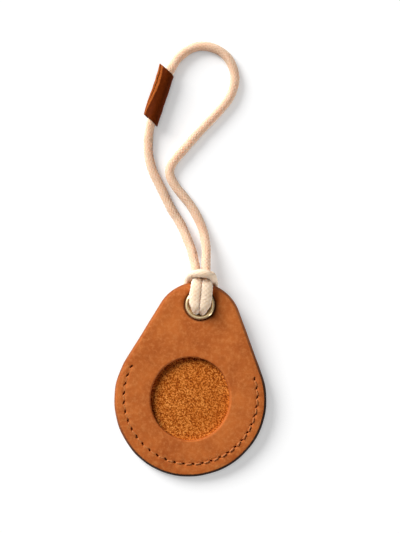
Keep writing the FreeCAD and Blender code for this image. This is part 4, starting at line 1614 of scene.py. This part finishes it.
@dataclass
class CordTab:
    """Leather tab folded round the cord: two layers meet in a cut edge, and its ends are cut askew."""

    middle: Vector = field(default_factory=lambda: Vector((-0.0205, 0.0928, 0.0025)))
    heading: float = math.radians(-12.3)
    roll: float = math.radians(8.0)
    twist: float = math.radians(34.0)
    length: float = 0.0177
    bore: float = 0.00145
    fold: float = 0.0011
    layer: float = 0.00112
    tail: float = 0.0015
    lap: float = 0.0003
    lap_growth: float = 1.2
    nick: float = 0.1
    skew: float = math.radians(25.0)
    twist_span: float = 0.85
    twist_curve: float = 1.3
    corner: float = 0.00018
    end_soft: float = 0.15
    end_shrink: float = 0.03
    waver: float = 0.00006
    waver_length: float = 0.004
    waver_seed: int = 7
    arc_points: int = 61
    flat_points: int = 5
    parting_points: int = 4
    bore_rows: int = 12
    rows: int = 90

    def section(self, lap: float) -> tuple[np.ndarray, np.ndarray]:
        """Outer outline of the fold, and which of its points are on the raw edges.

        Args:
            lap: How far the lower layer stands out beyond the upper one.

        Returns:
            Points of the outline, and a mark for each.
        """
        outside = self.bore + self.fold
        upper_end = -(self.bore + self.tail) + lap / 2.0
        lower_end = upper_end - lap
        touches = [
            math.pi - math.atan2(self.layer, -end) - math.acos(outside / math.hypot(end, self.layer))
            for end in (upper_end, lower_end)
        ]
        arc = np.linspace(-touches[1], touches[0], self.arc_points)
        round_part = outside * np.stack([np.cos(arc), np.sin(arc)], axis=-1)
        lip = np.array((upper_end + self.corner, self.layer))
        foot = np.array((lower_end + self.corner, -self.layer))
        upper = np.linspace(round_part[-1], lip, self.flat_points)[1:]
        face = self.layer - self.corner
        gap = self.nick * face
        step = self.nick * lap
        edge = np.vstack([
            np.linspace((upper_end, face), (upper_end, gap), self.flat_points),
            np.linspace((upper_end - step, 0.0), (lower_end + step, 0.0), self.parting_points),
            np.linspace((lower_end, -gap), (lower_end, -face), self.flat_points),
        ])
        lower = np.linspace(foot, round_part[0], self.flat_points)[:-1]
        outline = np.vstack([round_part, upper, edge, lower])
        raw = np.zeros(len(outline), bool)
        first = len(round_part) + len(upper) - 1
        raw[first:first + len(edge) + 2] = True
        return outline, raw

    def ring(self, flat: np.ndarray, along: float) -> np.ndarray:
        """Places a section on the tab, rolled most above its middle and slanted by its cut.

        Args:
            flat: Points of the section.
            along: Its place along the tab, from the middle.

        Returns:
            Points of the ring.
        """
        share = along / self.length + 0.5
        turn = self.roll + self.twist * math.sin(self.twist_span * math.pi * share ** self.twist_curve)
        x = flat[:, 0] * math.cos(turn) + flat[:, 1] * math.sin(turn)
        z = flat[:, 1] * math.cos(turn) - flat[:, 0] * math.sin(turn)
        return np.stack([x, along - x * math.tan(self.skew), z], axis=-1)

    def build(self) -> bpy.types.Mesh:
        """Makes the fold's mesh about its own axis: outside, bore and both ends.

        Returns:
            The closed mesh.
        """
        along = np.linspace(-0.5, 0.5, self.rows) * self.length
        soft = self.end_soft * self.fold
        rings = []
        for place in along:
            outline, _ = self.section(self.lap * (1.0 + self.lap_growth * place / self.length))
            end = smooth(np.abs(place), self.length / 2.0 - soft, self.length / 2.0)
            level = np.full_like(outline, place)
            uneven = self.waver * undulation(outline, level, self.waver_length, self.waver_seed)
            rings.append(self.ring(outline * (1.0 - self.end_shrink * end) + uneven, place))
        outline, _ = self.section(self.lap)
        angle = np.arctan2(outline[:, 1], outline[:, 0])
        hole = self.bore * np.stack([np.cos(angle), np.sin(angle)], axis=-1)
        half_way = 0.5 * (outline + hole)
        rings.append(self.ring(half_way, along[-1]))
        for place in np.linspace(along[-1], along[0], self.bore_rows):
            rings.append(self.ring(hole, place))
        rings.append(self.ring(half_way, along[0]))
        return grid_mesh("cord_tab", np.array(rings), True, False)

    def dress(self, finishes: dict[str, bpy.types.Material]) -> bpy.types.Object:
        """Adds the tab with its dyed faces and raw cut edges.

        Args:
            finishes: Materials by name.

        Returns:
            The piece.
        """
        mesh = self.build()
        mesh.materials.append(finishes["dyed"])
        mesh.materials.append(finishes["edge"])
        _, raw = self.section(self.lap)
        for face in mesh.polygons:
            on_side = max(face.vertices) < self.rows * len(raw)
            if on_side and all(raw[corner % len(raw)] for corner in face.vertices):
                face.material_index = 1
        turn = Matrix.Rotation(self.heading, 4, "Z")
        piece = add_piece("cord_tab", mesh, Matrix.Translation(self.middle) @ turn)
        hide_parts("cord_sleeve")
        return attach(piece, LOOP)


# The studio


@dataclass
class Studio:
    """White table, a wide key lamp at the upper left, a weak low fill opposite and a camera above."""

    target: Vector = field(default_factory=lambda: Vector((-0.00128, 0.0374, 0.003)))
    roll: float = math.radians(5.79)
    tilt: float = math.radians(4.0)
    lens: float = 180.0
    sensor: float = 36.0
    view_height: float = 0.1768
    floor_half: float = 1.5
    floor_drop: float = 0.00005
    key_turn: float = math.radians(137.0)
    key_rise: float = math.radians(32.5)
    key_size: float = math.radians(34.0)
    key_level: float = 0.86
    fill_rise: float = math.radians(5.0)
    fill_size: float = math.radians(10.0)
    fill_level: float = 0.042
    ambient: float = 0.035
    horizon: float = 0.15
    horizon_top: float = 0.5
    floor_glow: float = 0.44
    floor_level: float = 1.17
    floor_open: float = 0.7
    shade_reach: float = 0.015
    sheen_low: float = 0.3
    sheen_high: float = 1.5
    sheen_start: float = -0.1
    sheen_full: float = 0.95

    def add_camera(self) -> bpy.types.Object:
        """Adds the camera, turned so that the holder leans as in the photograph.

        Returns:
            The camera.
        """
        data = bpy.data.cameras.new("camera")
        data.lens = self.lens
        data.sensor_width = self.sensor
        camera = bpy.data.objects.new("camera", data)
        distance = self.view_height * self.lens / self.sensor
        turn = Matrix.Rotation(self.roll, 3, "Z") @ Matrix.Rotation(self.tilt, 3, "X")
        camera.location = self.target + turn @ Vector((0.0, 0.0, distance))
        camera.rotation_euler = (self.tilt, 0.0, self.roll)
        bpy.context.scene.collection.objects.link(camera)
        bpy.context.scene.camera = camera
        return camera

    def add_lamp(self, name: str, level: float, size: float, towards: Vector) -> bpy.types.Object:
        """Adds a far lamp.

        Args:
            name: Name of the lamp.
            level: Its share of the light on the table, where 1 shows a colour as it is written.
            size: Its width, as an angle.
            towards: Direction from the table to the lamp.

        Returns:
            The lamp.
        """
        data = bpy.data.lights.new(name, "SUN")
        data.energy = level * math.pi / towards.z
        data.angle = size
        lamp = bpy.data.objects.new(name, data)
        lamp.rotation_mode = "QUATERNION"
        lamp.rotation_quaternion = towards.to_track_quat("Z", "Y")
        bpy.context.scene.collection.objects.link(lamp)
        return lamp

    def towards(self, turn: float, rise: float) -> Vector:
        """Direction from the table to a lamp.

        Args:
            turn: Its direction in the picture, from the right.
            rise: Its height above the table, as an angle.

        Returns:
            The direction.
        """
        heading = turn + self.roll
        flat = math.cos(rise)
        return Vector((flat * math.cos(heading), flat * math.sin(heading), math.sin(rise)))

    def add_world(self) -> None:
        """Soft light, most from near the horizon: white to the camera, and in metal bright by the key."""
        world = bpy.data.worlds.new("studio")
        world.use_nodes = True
        tree = world.node_tree
        tree.nodes.clear()
        path = add_node(tree, "ShaderNodeLightPath")
        way = add_node(tree, "ShaderNodeTexCoord")
        beside = add_node(tree, "ShaderNodeVectorMath", {
            0: way.outputs["Generated"], 1: self.towards(self.key_turn, self.key_rise),
        }, operation="DOT_PRODUCT")
        mirrored = add_node(tree, "ShaderNodeMapRange", {
            "Value": beside.outputs["Value"],
            "From Min": self.sheen_start, "From Max": self.sheen_full,
            "To Min": self.sheen_low, "To Max": self.sheen_high,
        })
        height = add_node(tree, "ShaderNodeSeparateXYZ", {"Vector": way.outputs["Generated"]})
        low = add_node(tree, "ShaderNodeMapRange", {
            "Value": height.outputs["Z"], "From Max": self.horizon_top,
            "To Min": self.horizon, "To Max": self.ambient,
        })
        lit = add_node(tree, "ShaderNodeMapRange", {
            "Value": path.outputs["Is Glossy Ray"],
            "To Min": low.outputs["Result"], "To Max": mirrored.outputs["Result"],
        })
        strength = add_node(tree, "ShaderNodeMapRange", {
            "Value": path.outputs["Is Camera Ray"], "To Min": lit.outputs["Result"], "To Max": 1.0,
        })
        light = add_node(tree, "ShaderNodeBackground", {
            "Color": linear("#ffffff"), "Strength": strength.outputs["Result"],
        })
        add_node(tree, "ShaderNodeOutputWorld", {"Surface": light.outputs["Background"]})
        bpy.context.scene.world = world

    def seen(self, tree: bpy.types.NodeTree) -> bpy.types.NodeSocket:
        """1 for rays from the camera, and for those that mirror it or pass through to it.

        Args:
            tree: Node tree that takes the nodes.

        Returns:
            The socket that gives this number.
        """
        path = add_node(tree, "ShaderNodeLightPath")
        mirrored = add_node(tree, "ShaderNodeMath", {
            0: path.outputs["Is Glossy Ray"], 1: path.outputs["Is Transmission Ray"],
        }, operation="MAXIMUM")
        either = add_node(tree, "ShaderNodeMath", {
            0: path.outputs["Is Camera Ray"], 1: mirrored.outputs[0],
        }, operation="MAXIMUM")
        return either.outputs[0]

    def add_floor(self) -> bpy.types.Object:
        """Adds the white table, which keeps a pale shadow.

        Returns:
            The floor.
        """
        half = self.floor_half
        mesh = bpy.data.meshes.new("table")
        corners = [(-half, -half, 0.0), (half, -half, 0.0), (half, half, 0.0), (-half, half, 0.0)]
        mesh.from_pydata(corners, [], [(0, 1, 2, 3)])
        material = bpy.data.materials.new("white_table")
        material.use_nodes = True
        tree = material.node_tree
        tree.nodes.clear()
        matt = add_node(tree, "ShaderNodeBsdfDiffuse", {"Color": linear("#fdfdfd")})
        glow = add_node(tree, "ShaderNodeEmission", {
            "Color": linear("#ffffff"), "Strength": self.floor_level,
        })
        # The glow fades where things cover the table, which paints extra shade round them
        open_sky = add_node(tree, "ShaderNodeAmbientOcclusion", {"Distance": self.shade_reach})
        uncovered = add_node(tree, "ShaderNodeMapRange", {
            "Value": open_sky.outputs["AO"], "From Max": self.floor_open, "To Max": self.floor_glow,
        })
        share = add_node(tree, "ShaderNodeMath", {
            0: self.seen(tree), 1: uncovered.outputs["Result"],
        }, operation="MULTIPLY")
        mixed = add_node(tree, "ShaderNodeMixShader", {
            0: share.outputs[0], 1: matt.outputs["BSDF"], 2: glow.outputs["Emission"],
        })
        add_node(tree, "ShaderNodeOutputMaterial", {"Surface": mixed.outputs["Shader"]})
        mesh.materials.append(material)
        floor = add_piece("table", mesh, Matrix.Translation((0.0, 0.0, -self.floor_drop)))
        return floor

    def build(self) -> None:
        """Sets up the whole studio."""
        bpy.context.scene.view_settings.view_transform = "Standard"
        self.add_camera()
        key = self.towards(self.key_turn, self.key_rise)
        self.add_lamp("key", self.key_level, self.key_size, key)
        fill = self.towards(self.key_turn + math.pi, self.fill_rise)
        self.add_lamp("fill", self.fill_level, self.fill_size, fill)
        self.add_world()
        self.add_floor()


def holder_place(window_middle: float) -> Matrix:
    """Place of the holder's axes in the frame, from its window mount.

    Args:
        window_middle: Height of the middle of the window's wall above the back face.

    Returns:
        The place.
    """
    mount = next(m for m in frame["record"]["mounts"] if m["name"] == "tag_window")
    normal = Vector(mount["axis"])
    tilt = math.atan2(-normal.y, normal.z)
    origin = Vector(mount["pos_m"]) - window_middle * normal
    return Matrix.Translation(origin) @ Matrix.Rotation(tilt, 4, "X")


def main() -> None:
    """Builds the studio, then every piece in order, and reports each one."""
    logging.basicConfig(level=logging.INFO, format="%(name)s: %(message)s")
    Studio().build()
    ring = EyeletSize()
    finishes = {
        "grain": OiledLeather(ring_middle=ring.centre_y, ring_edge=ring.bore + ring.flange).build(),
        "suede": Suede().build(),
        "thread": WaxedThread().build(),
        "brass": AgedBrass().build(),
        "cotton": CottonBraid().build(),
        # The same cotton painted paler for the hitch: painted light, a lit copy of one material
        "cotton_painted_paler": CottonBraid(
            "cotton_braid_painted_paler", crest="#fcddc2", gap="#e8ba91", stained="#f8d4b7"
        ).build(),
        "dyed": DyedLeather().build(),
        "edge": CutEdge().build(),
    }
    front = LeatherPanel(Layer.FRONT)
    place = holder_place(front.thick + (front.thick - front.window_round) / 2.0)
    tab = CordTab().dress(finishes)
    cord = CottonCord()
    pieces = [tab, cord.dress_loop(finishes), cord.dress_hitch(place, finishes)]
    pieces += [front.dress(place, finishes), LeatherPanel(Layer.BACK).dress(place, finishes)]
    pieces.append(SeamThread().dress(place, finishes))
    pieces += Eyelet().dress(place, finishes)
    for piece in pieces:
        LOG.info("%s: %d faces", piece.name, len(piece.data.polygons))


if __name__ == "__main__":
    main()
